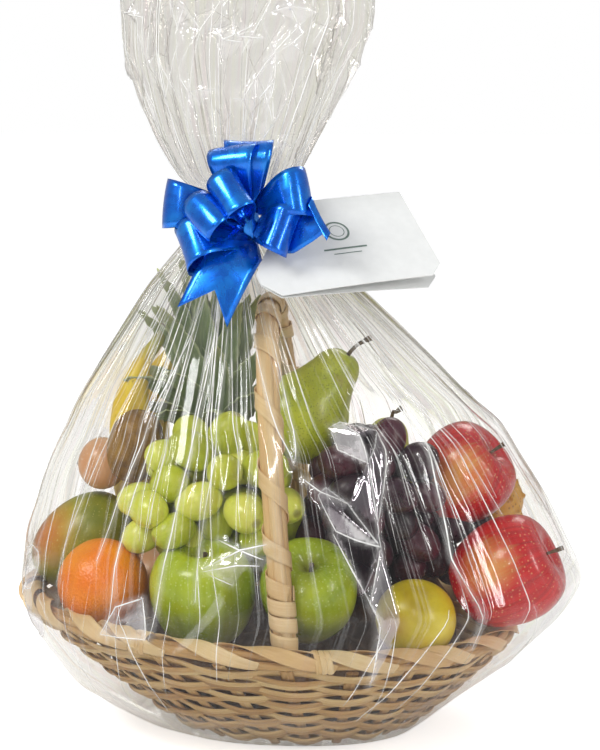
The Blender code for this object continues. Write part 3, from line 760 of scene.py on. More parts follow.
def red_apple_finish():
    material, tree, shader = finish("red apple skin", 0.28, Coat_Weight=0.4, Coat_Roughness=0.1)
    streak_place = place_of(tree, (5.0, 5.0, 1.0), "skin")
    streaks = cloud(tree, streak_place, 2.4, 6, 0.62, 0.35)
    patches = cloud(tree, place_of(tree), 21.0, 2, 0.45, 0.5)
    # the paler orange: partly the apple's yellow ground, partly a painted highlight round the two spots below
    ground_and_painted_highlight = ramp(
        tree, cloud(tree, place_of(tree), 42.0, 2),
        ((0.35, linear(240, 136, 60)), (0.65, linear(252, 190, 104))),
    )
    red = ramp(
        tree, streaks, ((0.3, linear(172, 2, 10)), (0.52, linear(206, 8, 18)), (0.75, linear(224, 30, 28)))
    )
    # two fixed spots on the sides turned to the lamps and the lens; round them the skin turns paler orange,
    # partly yellow ground and partly painted highlight
    highlight_and_ground_distance = None
    for cheek in ((0.141, -0.066, 0.140), (0.120, -0.030, 0.196)):
        away = far_from(tree, cheek)
        highlight_and_ground_distance = away if highlight_and_ground_distance is None else sums(tree, "MINIMUM", highlight_and_ground_distance, away)
    shade = sums(
        tree, "ADD", sums(tree, "MULTIPLY", highlight_and_ground_distance, 22.0),
        sums(tree, "MULTIPLY", sums(tree, "ADD", streaks, patches), 0.42),
    )
    cover = ramp(tree, shade, ((0.50, 0.08), (0.74, 0.45), (0.98, 0.94), (1.0, 1.0)))
    base = mixed(tree, cover, ground_and_painted_highlight, red)
    share = up_skin(tree)
    base = mixed(tree, ramp(tree, share, ((0.90, 0.0), (0.985, 0.8))), base, linear(166, 110, 40))
    base, _ = speckled(tree, base, place_of(tree), 300.0, 0.24, linear(238, 190, 130), 0.55)
    coat(tree, shader, base, ramp(tree, patches, ((0.3, 0.22), (0.7, 0.34))))
    raised(tree, shader, cloud(tree, place_of(tree), 120.0, 3), 0.07, 0.0008)
    return material


STALK_WOOD, tree, shader = finish("fruit stalk", 0.7)
coat(
    tree, shader,
    ramp(
        tree, cloud(tree, place_of(tree), 320.0, 4),
        ((0.3, linear(58, 42, 24)), (0.7, linear(122, 100, 58))),
    ),
)
raised(tree, shader, cloud(tree, place_of(tree), 500.0, 3), 0.5, 0.0006)


def apple(name, centre, radius, half, material, slot, tilt, stem, lobes=5, seed=0):
    place = standing(centre, **tilt)

    def swell(spot, a, share):
        ridge = 1 + 0.020 * math.cos(lobes * a + seed) * (1.15 - share) + 0.012 * math.cos(2 * a + seed * 1.7)
        wander = 1 + 0.018 * noise.noise(Vector((math.cos(a) + seed, math.sin(a), share * 1.8)))
        return Vector((
            spot.x * ridge * wander, spot.y * ridge * wander,
            spot.z + half * 0.05 * math.cos(a + seed) * (share - 0.3),
        ))

    skin_piece = turned(
        name + "_skin", [(r * radius, h * half) for r, h in APPLE_OUTLINE], place, material, swell=swell
    )
    settle(skin_piece, slot, name)
    foot = Vector((0, 0, half * 0.56))
    path = [
        place @ (foot + Vector(p))
        for p in ((0, 0, 0), (0.0008, 0, stem * 0.45), (0.0030, 0.001, half * 0.30 + stem * 0.62))
    ]
    stalk = rod(name + "_stalk", path, (0.0012, 0.0010, 0.0012, 0.0019), STALK_WOOD)
    settle(stalk, slot)


GREEN_APPLE, RED_APPLE = green_apple_finish(), red_apple_finish()
apple(
    "green_apple_left", (-0.064, -0.066, 0.114), 0.0385, 0.036, GREEN_APPLE, "green_skin", dict(turn_x=12),
    0.002, seed=1,
)
apple(
    "green_apple_right", (0.013, -0.064, 0.116), 0.0355, 0.034, GREEN_APPLE, "green_skin", dict(turn_x=34),
    0.0, seed=2,
)
apple(
    "red_apple_front", (0.156, -0.032, 0.124), 0.0395, 0.038, RED_APPLE, "red_skin",
    dict(turn_x=10, turn_y=58), 0.022, seed=3,
)
apple(
    "red_apple_back", (0.1235, 0.004, 0.1885), 0.0365, 0.034, RED_APPLE, "red_skin",
    dict(turn_x=10, turn_y=45), 0.018, seed=4,
)

# ---------------------------------------------------------------------------------------
# Pears: a green one that leans to the right on top of the heap, and the tip of another
# behind the dark grapes. The skin is finely pored, with a dark bent stalk.
# ---------------------------------------------------------------------------------------
PEAR_OUTLINE = (
    (0, 0.020), (0.16, 0.004), (0.34, 0.0), (0.60, 0.035), (0.86, 0.13), (0.985, 0.26), (0.985, 0.38),
    (0.86, 0.52),
    (0.66, 0.66), (0.53, 0.79), (0.46, 0.89), (0.34, 0.965), (0.18, 1.0), (0.05, 0.99), (0, 0.985),
)


def pear_finish():
    material, tree, shader = finish("pear skin", 0.34, Coat_Weight=0.25, Coat_Roughness=0.18)
    broad = cloud(tree, place_of(tree), 30.0, 4, 0.55, 0.3)
    base = ramp(
        tree, broad, ((0.3, linear(152, 166, 18)), (0.5, linear(186, 196, 30)), (0.7, linear(210, 214, 66)))
    )
    base, pores = speckled(tree, base, place_of(tree), 520.0, 0.30, linear(104, 118, 22), 0.75)
    russet = ramp(tree, cloud(tree, place_of(tree), 70.0, 5, 0.6), ((0.60, 0.0), (0.72, 0.5)))
    base = mixed(tree, russet, base, linear(150, 130, 54))
    coat(tree, shader, base, ramp(tree, broad, ((0.3, 0.28), (0.7, 0.42))))
    raised(
        tree, shader,
        sums(tree, "ADD", cloud(tree, place_of(tree), 90.0, 3), sums(tree, "MULTIPLY", pores, -0.3)), 0.14,
        0.001,
    )
    return material


PEAR = pear_finish()
for name, foot, radius, length, tilt, stem, seed in (
    ("pear_front", (-0.011, 0.006, 0.205), 0.036, 0.089, 33, 0.020, 1.0),
    ("pear_back", (0.060, 0.062, 0.135), 0.033, 0.086, 6, 0.010, 2.3),
):
    place = standing(foot, turn_y=tilt)

    def swell(spot, a, share, seed=seed, radius=radius):
        lump = 1 + 0.035 * noise.noise(
            Vector((math.cos(a) + seed, math.sin(a), share * 2.5))
        ) + 0.014 * math.cos(3 * a + seed)
        bend = 0.06 * radius * math.sin(math.pi * share)
        return Vector((spot.x * lump - bend, spot.y * lump, spot.z))

    skin_piece = turned(
        name + "_skin", [(r * radius, h * length) for r, h in PEAR_OUTLINE], place, PEAR, rows=70,
        swell=swell,
    )
    settle(skin_piece, "pear_skin", name)
    path = [
        place @ Vector(p)
        for p in (
            (0, 0, length * 0.96), (0.001, 0, length + 0.006), (0.003, 0.0, length + stem * 0.6),
            (0.0075, 0, length + stem),
        )
    ]
    settle(rod(name + "_stalk", path, (0.0017, 0.0014, 0.0015, 0.0024), STALK_WOOD), "pear_skin")

# ---------------------------------------------------------------------------------------
# Round fruit between the larger ones: an orange, two granadillas, a mango, a quince, a
# kiwi and a knobbly horned fruit, each set as it lies in the heap.
# ---------------------------------------------------------------------------------------
def round_outline(radius, half, eye=0.0, stalk=0.0, blunt=1.0):
    """Half an oval from eye to stalk, with a dimple at either end."""
    rows = []
    for i in range(15):
        a = -math.pi / 2 + math.pi * i / 14
        r = math.cos(a) ** blunt if 0 < i < 14 else 0.0
        dent = eye * math.exp(-((r / 0.22) ** 2)) if a < 0 else -stalk * math.exp(-((r / 0.22) ** 2))
        rows.append((radius * max(r, 0.0), half * (math.sin(a) + dent)))
    return rows


def orange_finish():
    material, tree, shader = finish("orange peel", 0.36, Coat_Weight=0.2, Coat_Roughness=0.25)
    pores = node(
        tree, "ShaderNodeTexVoronoi", {"Vector": place_of(tree), "Scale": 520.0}
    ).outputs["Distance"]
    broad = cloud(tree, place_of(tree), 30.0, 3)
    base = ramp(tree, broad, ((0.3, linear(250, 128, 2)), (0.7, linear(255, 162, 22))))
    coat(
        tree, shader, mixed(tree, ramp(tree, pores, ((0.0, 0.35), (0.45, 0.0))), base, linear(228, 104, 4))
    )
    raised(tree, shader, pores, 0.45, 0.0008)
    return material


def smooth_skin(
    name, low, middle, high, blush=None, spots=None, roughness=0.35, patch=30.0, bump=0.1, fine=120.0
):
    material, tree, shader = finish(name, roughness, Coat_Weight=0.2, Coat_Roughness=0.2)
    broad = cloud(tree, place_of(tree), patch, 4, 0.55, 0.3)
    base = ramp(tree, broad, ((0.3, low), (0.5, middle), (0.7, high)))
    if blush:
        colour, centre, reach = blush
        edge = sums(tree, "ADD", far_from(tree, centre), sums(tree, "MULTIPLY", broad, reach * 0.6))
        base = mixed(
            tree, ramp(tree, sums(tree, "DIVIDE", edge, reach * 2), ((0.35, 0.9), (0.8, 0.0))), base, colour
        )
    if spots:
        base, _ = speckled(tree, base, place_of(tree), *spots)
    coat(tree, shader, base, ramp(tree, broad, ((0.3, roughness - 0.06), (0.7, roughness + 0.08))))
    raised(tree, shader, cloud(tree, place_of(tree), fine, 3), bump, 0.001)
    return material


def lumpy(amount, ribs=0, seed=0.0, rib_depth=0.0):
    def swell(spot, a, share):
        grow_by = 1 + amount * noise.noise(
            Vector((math.cos(a) * 1.3 + seed, math.sin(a) * 1.3, share * 3))
        ) + rib_depth * math.cos(ribs * a) * math.sin(math.pi * share)
        return Vector((spot.x * grow_by, spot.y * grow_by, spot.z))
    return swell


ORANGE = orange_finish()
settle(
    turned(
        "orange_peel_skin", round_outline(0.033, 0.034, 0.03, 0.05),
        standing((-0.140, -0.050, 0.115), 20, -14), ORANGE, swell=lumpy(0.03, seed=2),
    ),
    "orange_peel", "orange",
)
GRANADILLA = smooth_skin(
    "granadilla shell", linear(222, 164, 116), linear(234, 182, 138), linear(240, 200, 164),
    spots=(300.0, 0.22, linear(240, 214, 184), 0.6),
)
settle(
    turned(
        "granadilla_front_shell", round_outline(0.026, 0.028, 0.02, 0.03),
        standing((-0.111, 0.012, 0.100), 14, 8), GRANADILLA, swell=lumpy(0.03, seed=3),
    ),
    "granadilla_shell", "granadilla_front",
)
settle(
    turned(
        "granadilla_back_shell", round_outline(0.0185, 0.020, 0.02, 0.03),
        standing((-0.149, 0.006, 0.194), 0, 10), GRANADILLA, swell=lumpy(0.03, seed=4),
    ),
    "granadilla_shell", "granadilla_back",
)
MANGO = smooth_skin(
    "mango skin", linear(112, 124, 20), linear(150, 152, 30), linear(190, 180, 54),
    blush=(linear(226, 120, 34), (-0.200, -0.018, 0.150), 0.030),
    spots=(380.0, 0.22, linear(214, 206, 120), 0.6), patch=24.0,
)
mango = turned(
    "mango_whole", [(r * 0.98, h) for r, h in round_outline(0.035, 0.043, 0.0, 0.05, 0.92)],
    standing((-0.166, 0.008, 0.134), 0, 50), MANGO,
    swell=lambda spot, a, share: Vector((spot.x + 0.0035 * math.sin(math.pi * share), spot.y * 0.93, spot.z)),
)
settle(mango, "mango_skin", "mango")
QUINCE = smooth_skin(
    "quince skin", linear(188, 164, 18), linear(214, 194, 30), linear(232, 214, 62),
    blush=(linear(182, 124, 36), (0.070, -0.092, 0.100), 0.013),
    spots=(420.0, 0.2, linear(170, 150, 20), 0.4),
)
settle(
    turned(
        "quince_whole", round_outline(0.029, 0.028, 0.05, 0.06, 0.9),
        standing((0.090, -0.066, 0.098), 12, 4), QUINCE, swell=lumpy(0.04, 5, 5, 0.016),
    ),
    "quince_skin", "quince",
)
KIWI = smooth_skin(
    "kiwi skin", linear(96, 66, 18), linear(132, 96, 34), linear(158, 120, 50), roughness=0.75, patch=60.0,
    bump=0.6, fine=520.0,
)
settle(
    turned(
        "kiwi_whole", round_outline(0.021, 0.028, 0.02, 0.03, 0.9),
        standing((-0.121, -0.010, 0.211), 0, 14), KIWI, swell=lumpy(0.03, seed=6),
    ),
    "kiwi_skin", "kiwi",
)
HORNED = smooth_skin(
    "horned fruit rind", linear(190, 132, 30), linear(222, 164, 48), linear(236, 190, 84),
    spots=(260.0, 0.3, linear(150, 92, 24), 0.6), bump=0.3,
)


def horned(spot, a, share):
    row = round(share * 8)
    horn = max(0.0, math.cos(6 * a + row * math.pi)) ** 6 * max(
        0.0, math.cos((share * 8 - row) * math.pi)
    ) ** 4
    return spot * (1 + 0.16 * horn * math.sin(math.pi * share))


settle(
    turned(
        "knobbly_fruit_rind", round_outline(0.0225, 0.0225), standing((0.150, 0.052, 0.160), 20, 30),
        HORNED, around=96, rows=72, swell=horned,
    ),
    "knobbly_rind", "knobbly_fruit",
)

# ---------------------------------------------------------------------------------------
# Bananas: two stand against the pineapple, curved and five-sided, green at the stalk
# and dark at the tip.
# ---------------------------------------------------------------------------------------
def banana_finish():
    material, tree, shader = finish("banana peel", 0.42, Coat_Weight=0.1)
    share = up_skin(tree)
    body = ramp(
        tree, cloud(tree, place_of(tree), 34.0, 4),
        ((0.3, linear(238, 196, 28)), (0.7, linear(252, 222, 62))),
    )
    ends = ramp(
        tree, share,
        (
            (0.0, linear(70, 56, 26)), (0.035, linear(150, 150, 50)), (0.16, linear(236, 204, 70)),
            (0.80, linear(240, 206, 74)), (0.92, linear(170, 172, 62)), (1.0, linear(104, 96, 46)),
        ),
    )
    base = mixed(tree, ramp(tree, share, ((0.12, 0.0), (0.22, 1.0), (0.76, 1.0), (0.86, 0.0))), ends, body)
    flecks = ramp(tree, cloud(tree, place_of(tree, (1, 1, 0.4)), 210.0, 4, 0.6), ((0.62, 0.0), (0.70, 0.7)))
    coat(tree, shader, mixed(tree, flecks, base, linear(120, 84, 32)))
    raised(tree, shader, cloud(tree, place_of(tree), 90.0, 3), 0.1, 0.001)
    return material


BANANA = banana_finish()
for name, start, middle, end in (
    ("banana_front", (-0.121, 0.040, 0.118), (-0.132, 0.036, 0.222), (-0.110, 0.036, 0.284)),
    ("banana_back", (-0.112, 0.076, 0.160), (-0.122, 0.074, 0.216), (-0.101, 0.066, 0.276)),
):
    a, b, c = Vector(start), Vector(middle), Vector(end)
    arc = [
        a * (1 - t) * (1 - 2 * t) + b * 4 * t * (1 - t) + c * t * (2 * t - 1) for t in np.linspace(0, 1, 9)
    ]
    arc = arc + [c + (c - b).normalized() * 0.014]
    peel = rod(
        name + "_peel", arc,
        [0.0045, 0.0105, 0.0140, 0.0153, 0.0157, 0.0157, 0.0152, 0.0138, 0.0105, 0.0066, 0.0048, 0.0046],
        BANANA,
        sides=40, steps=56, section=lambda a, t: 1 + 0.050 * math.cos(5 * a),
    )
    settle(peel, "banana_peel", name)

# ---------------------------------------------------------------------------------------
# Pineapple: its body is mostly buried; scales in spiral rows, each with a dry spine,
# under a crown of stiff grooved leaves that arch outwards.
# ---------------------------------------------------------------------------------------
PINE_CENTRE, PINE_RADIUS, PINE_HALF = (-0.068, 0.052, 0.142), 0.043, 0.064
pine_place = standing(PINE_CENTRE, 10, 1)


def scatter_tree(name, turn_range, size_range):
    """Sets a copy of one object on every guide point, turned and sized by its attributes."""
    tree = bpy.data.node_groups.new(name, "GeometryNodeTree")
    given, out = inputs_of(
        tree, (("Fruit", "Object"), ("Size", "Float"), ("Finish", "Material"), ("Seed", "Int"))
    )
    turn = node(tree, "GeometryNodeInputNamedAttribute", {"Name": "turn"}, data_type="FLOAT_VECTOR")
    own = node(
        tree, "FunctionNodeRandomValue",
        {0: tuple(-v for v in turn_range), 1: turn_range, "Seed": given["Seed"]}, data_type="FLOAT_VECTOR",
    )
    spin = node(tree, "ShaderNodeVectorMath", {0: turn.outputs[0], 1: own.outputs[0]}, operation="ADD")
    grown = node(
        tree, "FunctionNodeRandomValue", {2: size_range[0], 3: size_range[1], "Seed": given["Seed"]},
        data_type="FLOAT",
    )
    size = node(tree, "ShaderNodeMath", {0: grown.outputs[1], 1: given["Size"]}, operation="MULTIPLY")
    source = node(tree, "GeometryNodeObjectInfo", {"Object": given["Fruit"]})
    turn_by = node(tree, "FunctionNodeEulerToRotation", {0: spin.outputs[0]})
    copies = node(
        tree, "GeometryNodeInstanceOnPoints",
        {
            "Points": given["Geometry"], "Instance": source.outputs["Geometry"],
            "Rotation": turn_by.outputs[0], "Scale": size.outputs[0],
        },
    )
    real = node(tree, "GeometryNodeRealizeInstances", {"Geometry": copies.outputs[0]})
    done = node(tree, "GeometryNodeSetMaterial", {"Geometry": real.outputs[0], "Material": given["Finish"]})
    tree.links.new(done.outputs[0], out["Geometry"])
    return tree


def seats(name, places, turns, tones):
    """Guide points with the turn and tone of what sits on each."""
    mesh = bpy.data.meshes.new(name)
    mesh.from_pydata([tuple(p) for p in places], [], [])
    store(mesh, turn=turns, tone=tones)
    return mesh


def rind_finish():
    material, tree, shader = finish("pineapple rind", 0.55)
    high = up_skin(tree)
    tone = mark(tree, "tone")
    base = ramp(
        tree, high,
        (
            (0.0, linear(70, 66, 26)), (0.45, linear(128, 116, 44)), (0.75, linear(176, 140, 62)),
            (1.0, linear(150, 110, 60)),
        ),
    )
    base = mixed(tree, sums(tree, "MULTIPLY", tone, 0.5), base, linear(96, 100, 40))
    base = mixed(
        tree, ramp(tree, cloud(tree, place_of(tree), 260.0, 4), ((0.4, 0.0), (0.7, 0.5))), base,
        linear(64, 48, 28),
    )
    coat(tree, shader, base)
    raised(tree, shader, cloud(tree, place_of(tree), 300.0, 3), 0.5, 0.0008)
    return material


RIND = rind_finish()
eye_points, eye_skin, eye_faces = [], [], ring_faces(12, 4)
for reach, high in ((1.0, -0.25), (0.92, 0.10), (0.62, 0.34), (0.22, 0.42)):
    for i in range(12):
        a = math.tau * i / 12
        corner = 1 - 0.12 * abs(math.sin(2 * a))
        eye_points.append((reach * corner * math.cos(a), reach * corner * 0.86 * math.sin(a), high))
        eye_skin.append((math.cos(a), math.sin(a), (high + 0.25) / 0.95))
eye_points += [(0.0, 0.30, 0.74), (0, 0, -0.3)]
eye_skin += [(0, 0, 1), (0, 0, 0)]
eye_faces += [
    (36 + i, 36 + (i + 1) % 12, 48) for i in range(12)
] + [((i + 1) % 12, i, 49) for i in range(12)]
eye = put("pineapple_eye", eye_points, eye_faces, RIND, skin=eye_skin)

eye_seats, eye_turns = [], []
EYES, GOLDEN_TURN = 118, math.radians(137.508)
for k in range(EYES):
    level = -0.93 + 1.86 * (k + 0.5) / EYES
    a = k * GOLDEN_TURN
    width = PINE_RADIUS * 0.97 * (1 - abs(level) ** 3.2) ** 0.5
    spot = Vector((width * math.cos(a), width * math.sin(a), PINE_HALF * level))
    out = Vector((math.cos(a), math.sin(a), 0.9 * abs(level) ** 2.2 * math.copysign(1, level))).normalized()
    side = Vector((-math.sin(a), math.cos(a), 0))
    up = out.cross(side)
    turn = (pine_place.to_3x3() @ Matrix((side, up, out)).transposed()).to_euler()
    eye_seats.append(pine_place @ spot)
    eye_turns.append(tuple(turn))
rind = grow(
    "pineapple_rind_eyes", seats("eyes", eye_seats, eye_turns, luck.uniform(0, 1, EYES)),
    scatter_tree("set eyes", (0, 0, 0), (0.97, 1.03)), Fruit=eye, Size=0.0088, Finish=RIND, Seed=1,
)
settle(rind, "pineapple_rind", "pineapple")
bpy.data.objects.remove(eye)
core_outline = [
    (PINE_RADIUS * 0.93 * max(0.0, 1 - abs(h) ** 3.2) ** 0.5, PINE_HALF * h) for h in np.linspace(-1, 1, 15)
]
settle(
    turned("pineapple_flesh", core_outline, pine_place, RIND, around=40, rows=30), "pineapple_rind",
    "pineapple",
)

LEAF_GREEN, tree, shader = finish("pineapple leaf", 0.5, Coat_Weight=0.08)
leaf_uv = node(tree, "ShaderNodeSeparateXYZ", {0: mark(tree, "skin", "Vector")}).outputs
ribs = cloud(tree, place_of(tree, (9, 0, 0.8), "skin"), 4.0, 4)
green = ramp(tree, ribs, ((0.3, linear(88, 116, 66)), (0.7, linear(156, 176, 124))))
edge = ramp(tree, sums(tree, "ABSOLUTE", leaf_uv["X"]), ((0.72, 0.0), (0.95, 0.85)))
green = mixed(tree, edge, green, linear(178, 190, 150))
green = mixed(tree, ramp(tree, leaf_uv["Z"], ((0.72, 0.0), (1.0, 0.9))), green, linear(186, 190, 140))
green = mixed(
    tree, ramp(tree, cloud(tree, place_of(tree), 90.0, 3), ((0.5, 0.0), (0.8, 0.5))), green,
    linear(156, 170, 138),
)
coat(tree, shader, green)
raised(tree, shader, ribs, 0.3, 0.0008)

CROWN_TIERS = (
    # leaves, lean at the root, lean at the tip, length, start height, width
    (8, 0.55, 1.75, 0.060, 0.004, 0.0180),
    (8, 0.42, 1.15, 0.080, 0.014, 0.0195),
    (7, 0.26, 0.72, 0.098, 0.024, 0.0195),
    (6, 0.14, 0.46, 0.104, 0.034, 0.0185),
    (5, 0.05, 0.24, 0.098, 0.042, 0.0160),
)
LEAF_STEPS, LEAF_ACROSS = 20, 6


def strip_faces(first, steps, across):
    """The faces of an open strip, so many steps long and so many across."""
    return [
        (c, c + 1, c + across + 2, c + across + 1)
        for start in range(first, first + steps * (across + 1), across + 1)
        for c in range(start, start + across)
    ]


leaf_points, leaf_skin, leaf_faces = [], [], []
crown_top = pine_place @ Vector((0, 0, PINE_HALF * 0.96))
for tier, (count, lean_root, lean_tip, length, rise, width) in enumerate(CROWN_TIERS):
    for k in range(count):
        a = math.tau * (k + 0.37 * tier) / count + float(luck.uniform(-0.15, 0.15))
        over_left = 1 - 0.28 * math.cos(a)
        lean = 1 + 0.15 * float(luck.uniform(-1, 1))
        reach = length * (1 + 0.10 * float(luck.uniform(-1, 1))) * (0.90 + 0.12 * over_left)
        curl = float(luck.uniform(-0.35, 0.35))
        out = Vector((math.cos(a), math.sin(a) * 0.8, 0)).normalized()
        side = Vector((-out.y, out.x, 0))
        spot = crown_top + Vector((-0.06 * rise, 0, rise)) + out * 0.009 * (1 - tier * 0.15)
        first = len(leaf_points)
        for j in range(LEAF_STEPS + 1):
            t = j / LEAF_STEPS
            angle = (lean_root + (lean_tip - lean_root) * t**1.4) * lean * over_left
            taper = width / 2 * max(1 - t**3.4, 0.02) ** 0.8 * (
                0.80 + 0.30 * math.sin(math.pi * min(t * 1.2, 1))
            )
            up = Vector((0, 0, 1)) * math.cos(angle) + out * math.sin(angle) + side * curl * t * 0.5
            up.normalize()
            broad_side = up.cross(Vector((0, -1, 0))) * (1 if side.x >= 0 else -1)
            across = side * 0.45 + broad_side * 0.55
            across = (across - up * across.dot(up)).normalized()
            inner = across.cross(up).normalized()
            for i in range(LEAF_ACROSS + 1):
                w = 2 * i / LEAF_ACROSS - 1
                spine = 0.0011 if abs(w) == 1 and j % 2 else 0.0
                ripple = 0.0008 * math.sin(j * 1.9 + 3 * w + k) * abs(w)
                place = spot + across * w * (taper + spine) + inner * (0.42 * taper * (w * w - 1) + ripple)
                # the film behind holds the leaves in
                wall = float(np.interp(place.z, (0.245, 0.290, 0.330, 0.362), (0.100, 0.072, 0.040, 0.022)))
                if place.y > 0.6 * wall:
                    place.y = wall * (0.6 + 0.4 * math.tanh((place.y / wall - 0.6) / 0.8))
                leaf_points.append(place)
                leaf_skin.append((w, 0, t))
            spot = spot + up * reach / LEAF_STEPS
        leaf_faces += strip_faces(first, LEAF_STEPS, LEAF_ACROSS)
crown = put("pineapple_crown", leaf_points, leaf_faces, LEAF_GREEN, skin=leaf_skin)
shell = crown.modifiers.new("leaf", "SOLIDIFY")
shell.thickness, shell.offset = 0.0008, 0
settle(crown, "pineapple_rind", "pineapple")

# ---------------------------------------------------------------------------------------
# Grapes: a large green bunch over the front of the heap and a dark one at the right.
# Every berry is a whole plump oval, brown at its stalk end, packed against its neighbours.
# ---------------------------------------------------------------------------------------
GRAPE_RADIUS = 0.0136
GREEN_LOBES = (
    ((-0.058, -0.030, 0.193), (0.043, 0.034, 0.034)), ((-0.089, -0.044, 0.168), (0.027, 0.028, 0.026)),
    ((-0.026, -0.044, 0.178), (0.022, 0.024, 0.028)), ((-0.040, -0.018, 0.155), (0.038, 0.024, 0.030)),
)
DARK_LOBES = (
    ((0.060, -0.030, 0.191), (0.040, 0.032, 0.034)), ((0.055, -0.018, 0.150), (0.046, 0.034, 0.036)),
    ((0.108, 0.010, 0.146), (0.028, 0.022, 0.030)), ((0.098, -0.024, 0.203), (0.010, 0.010, 0.010)),
)


def pack_berries(lobes, gap, seed):
    """Berry centres that fill the outside of the lobes no closer than gap."""
    chance = np.random.default_rng(seed)
    low = np.min([np.array(c) - np.array(h) for c, h in lobes], axis=0)
    high = np.max([np.array(c) + np.array(h) for c, h in lobes], axis=0)
    tries = chance.uniform(low, high, (24000, 3))
    depth = np.min([np.linalg.norm((tries - np.array(c)) / np.array(h), axis=1) for c, h in lobes], axis=0)
    order = np.argsort(-np.round(depth * 8) + chance.uniform(0, 0.01, len(tries)))
    kept = np.empty((0, 3))
    for i in order:
        if depth[i] > 1 or depth[i] < 0.35:
            continue
        if len(kept) == 0 or np.min(np.linalg.norm(kept - tries[i], axis=1)) > gap:
            kept = np.vstack((kept, tries[i]))
    return kept


def grape_finish(name, low, middle, high, bloom, bloom_share, deep):
    material, tree, shader = finish(name, 0.3, Coat_Weight=0.15, Coat_Roughness=0.15)
    tone = mark(tree, "tone")
    share = up_skin(tree)
    veins = cloud(tree, place_of(tree, (3, 3, 1), "skin"), 3.0, 3)
    base = ramp(
        tree, sums(tree, "ADD", sums(tree, "MULTIPLY", tone, 0.7), sums(tree, "MULTIPLY", veins, 0.35)),
        ((0.15, low), (0.5, middle), (0.85, high)),
    )
    base = mixed(tree, ramp(tree, share, ((0.0, 0.8), (0.05, 0.6), (0.09, 0.0))), base, deep)
    mist = ramp(tree, cloud(tree, place_of(tree), 95.0, 4, 0.6), ((0.42, 0.0), (0.68, bloom_share)))
    coat(
        tree, shader, mixed(tree, mist, base, bloom),
        ramp(tree, cloud(tree, place_of(tree), 60.0, 3), ((0.35, 0.22), (0.65, 0.46))),
    )
    raised(tree, shader, cloud(tree, place_of(tree), 200.0, 2), 0.06, 0.0006)
    return material, shader


GREEN_GRAPE, shader = grape_finish(
    "green grape skin", linear(176, 188, 36), linear(206, 214, 62), linear(226, 230, 102),
    linear(226, 230, 140), 0.22, linear(122, 104, 44),
)
shader.inputs["Subsurface Weight"].default_value = 0.35
shader.inputs["Subsurface Radius"].default_value = (0.006, 0.008, 0.003)
DARK_GRAPE, shader = grape_finish(
    "dark grape skin", linear(26, 6, 18), linear(46, 10, 28), linear(80, 18, 38), linear(104, 76, 100),
    0.24, linear(22, 8, 12),
)

berry = turned(
    "berry", [(r * 0.94, h) for r, h in round_outline(1.0, 1.24, 0.03, 0.05)], Matrix.Identity(4),
    GREEN_GRAPE, around=20, rows=15,
)
SET_BERRIES = scatter_tree("set berries", (0.5, 0.5, 3.1), (0.93, 1.07))
for name, lobes, seed, material, slot, gap, size in (
    ("green_grapes", GREEN_LOBES, 11, GREEN_GRAPE, "green_grape_skin", 0.0232, GRAPE_RADIUS * 1.07),
    ("dark_grapes", DARK_LOBES, 5, DARK_GRAPE, "dark_grape_skin", 0.0212, GRAPE_RADIUS),
):
    spots = pack_berries(lobes, gap, seed)
    middle = np.mean(spots, axis=0)
    turns = []
    for spot in spots:
        away = Vector(spot - middle)
        away = Vector((away.x, away.y * 0.35, away.z * 0.5 - 0.016))
        turns.append(tuple(away.to_track_quat("-Z", "Y").to_euler()))
    tones = np.random.default_rng(seed + 1).uniform(0, 1, len(spots))
    bunch = grow(
        name + "_bunch", seats(name, spots, turns, tones), SET_BERRIES, Fruit=berry, Size=size,
        Finish=material, Seed=seed,
    )
    settle(bunch, slot, name)
bpy.data.objects.remove(berry)

# ---------------------------------------------------------------------------------------
# Film: one sheet of clear cellophane drawn up round the basket, gathered at the neck
# and flared above it. Straight creases run from the neck, and it crumples over the fruit.
# ---------------------------------------------------------------------------------------
FILM_OUTLINE = (
    # height, left edge, right edge, half depth, ruffle
    (0.0006, -0.100, 0.092, 0.068, 0), (0.014, -0.125, 0.106, 0.096, 0), (0.042, -0.169, 0.138, 0.127, 0),
    (0.066, -0.190, 0.171, 0.141, 0), (0.095, -0.204, 0.198, 0.150, 0), (0.119, -0.207, 0.215, 0.150, 0),
    (0.152, -0.202, 0.199, 0.144, 0), (0.192, -0.188, 0.176, 0.133, 0.002),
    (0.229, -0.170, 0.153, 0.119, 0.005),
    (0.246, -0.163, 0.133, 0.111, 0.006), (0.290, -0.135, 0.088, 0.084, 0.014),
    (0.330, -0.110, 0.045, 0.050, 0.030),
    (0.362, -0.084, 0.004, 0.030, 0.045), (0.384, -0.066, -0.012, 0.020, 0.050),
    (0.397, -0.070, -0.008, 0.020, 0.050), (0.411, -0.087, 0.000, 0.022, 0.070),
    (0.442, -0.105, 0.017, 0.025, 0.100),
    (0.472, -0.118, 0.033, 0.027, 0.130), (0.500, -0.127, 0.046, 0.029, 0.150),
    (0.530, -0.128, 0.056, 0.030, 0.170),
    (0.574, -0.126, 0.056, 0.031, 0.180),
)
FILM_FOOT, FILM_NECK, FILM_TOP = 0.0006, 0.3905, 0.574
FILM_AROUND = 720
SKIRT_REACH, FLARE_REACH = 0.17, 0.062  # how much sheet one radian of turn takes, in metres
SHOULDER_PEAK, SHOULDER_RIM = (5.06, 0.237, 0.010), (
    # places round a crumple as (turn, height, how far it stands out)
    (4.97, 0.245, 0.001), (5.03, 0.248, 0.002), (5.18, 0.242, 0.001), (5.05, 0.222, 0.003),
    (4.95, 0.231, 0.001),
)
MIDDLE_PEAK, MIDDLE_RIM = (4.91, 0.190, 0.008), (
    (4.84, 0.202, 0.000), (4.87, 0.207, 0.001), (4.94, 0.196, 0.001), (5.02, 0.168, 0.002),
    (4.94, 0.173, 0.001),
    (4.88, 0.179, 0.000),
)
LOW_PEAK, LOW_RIM = (4.61, 0.156, 0.006), (
    (4.50, 0.153, 0.000), (4.62, 0.166, 0.002), (4.69, 0.170, 0.000), (4.59, 0.143, 0.000),
)
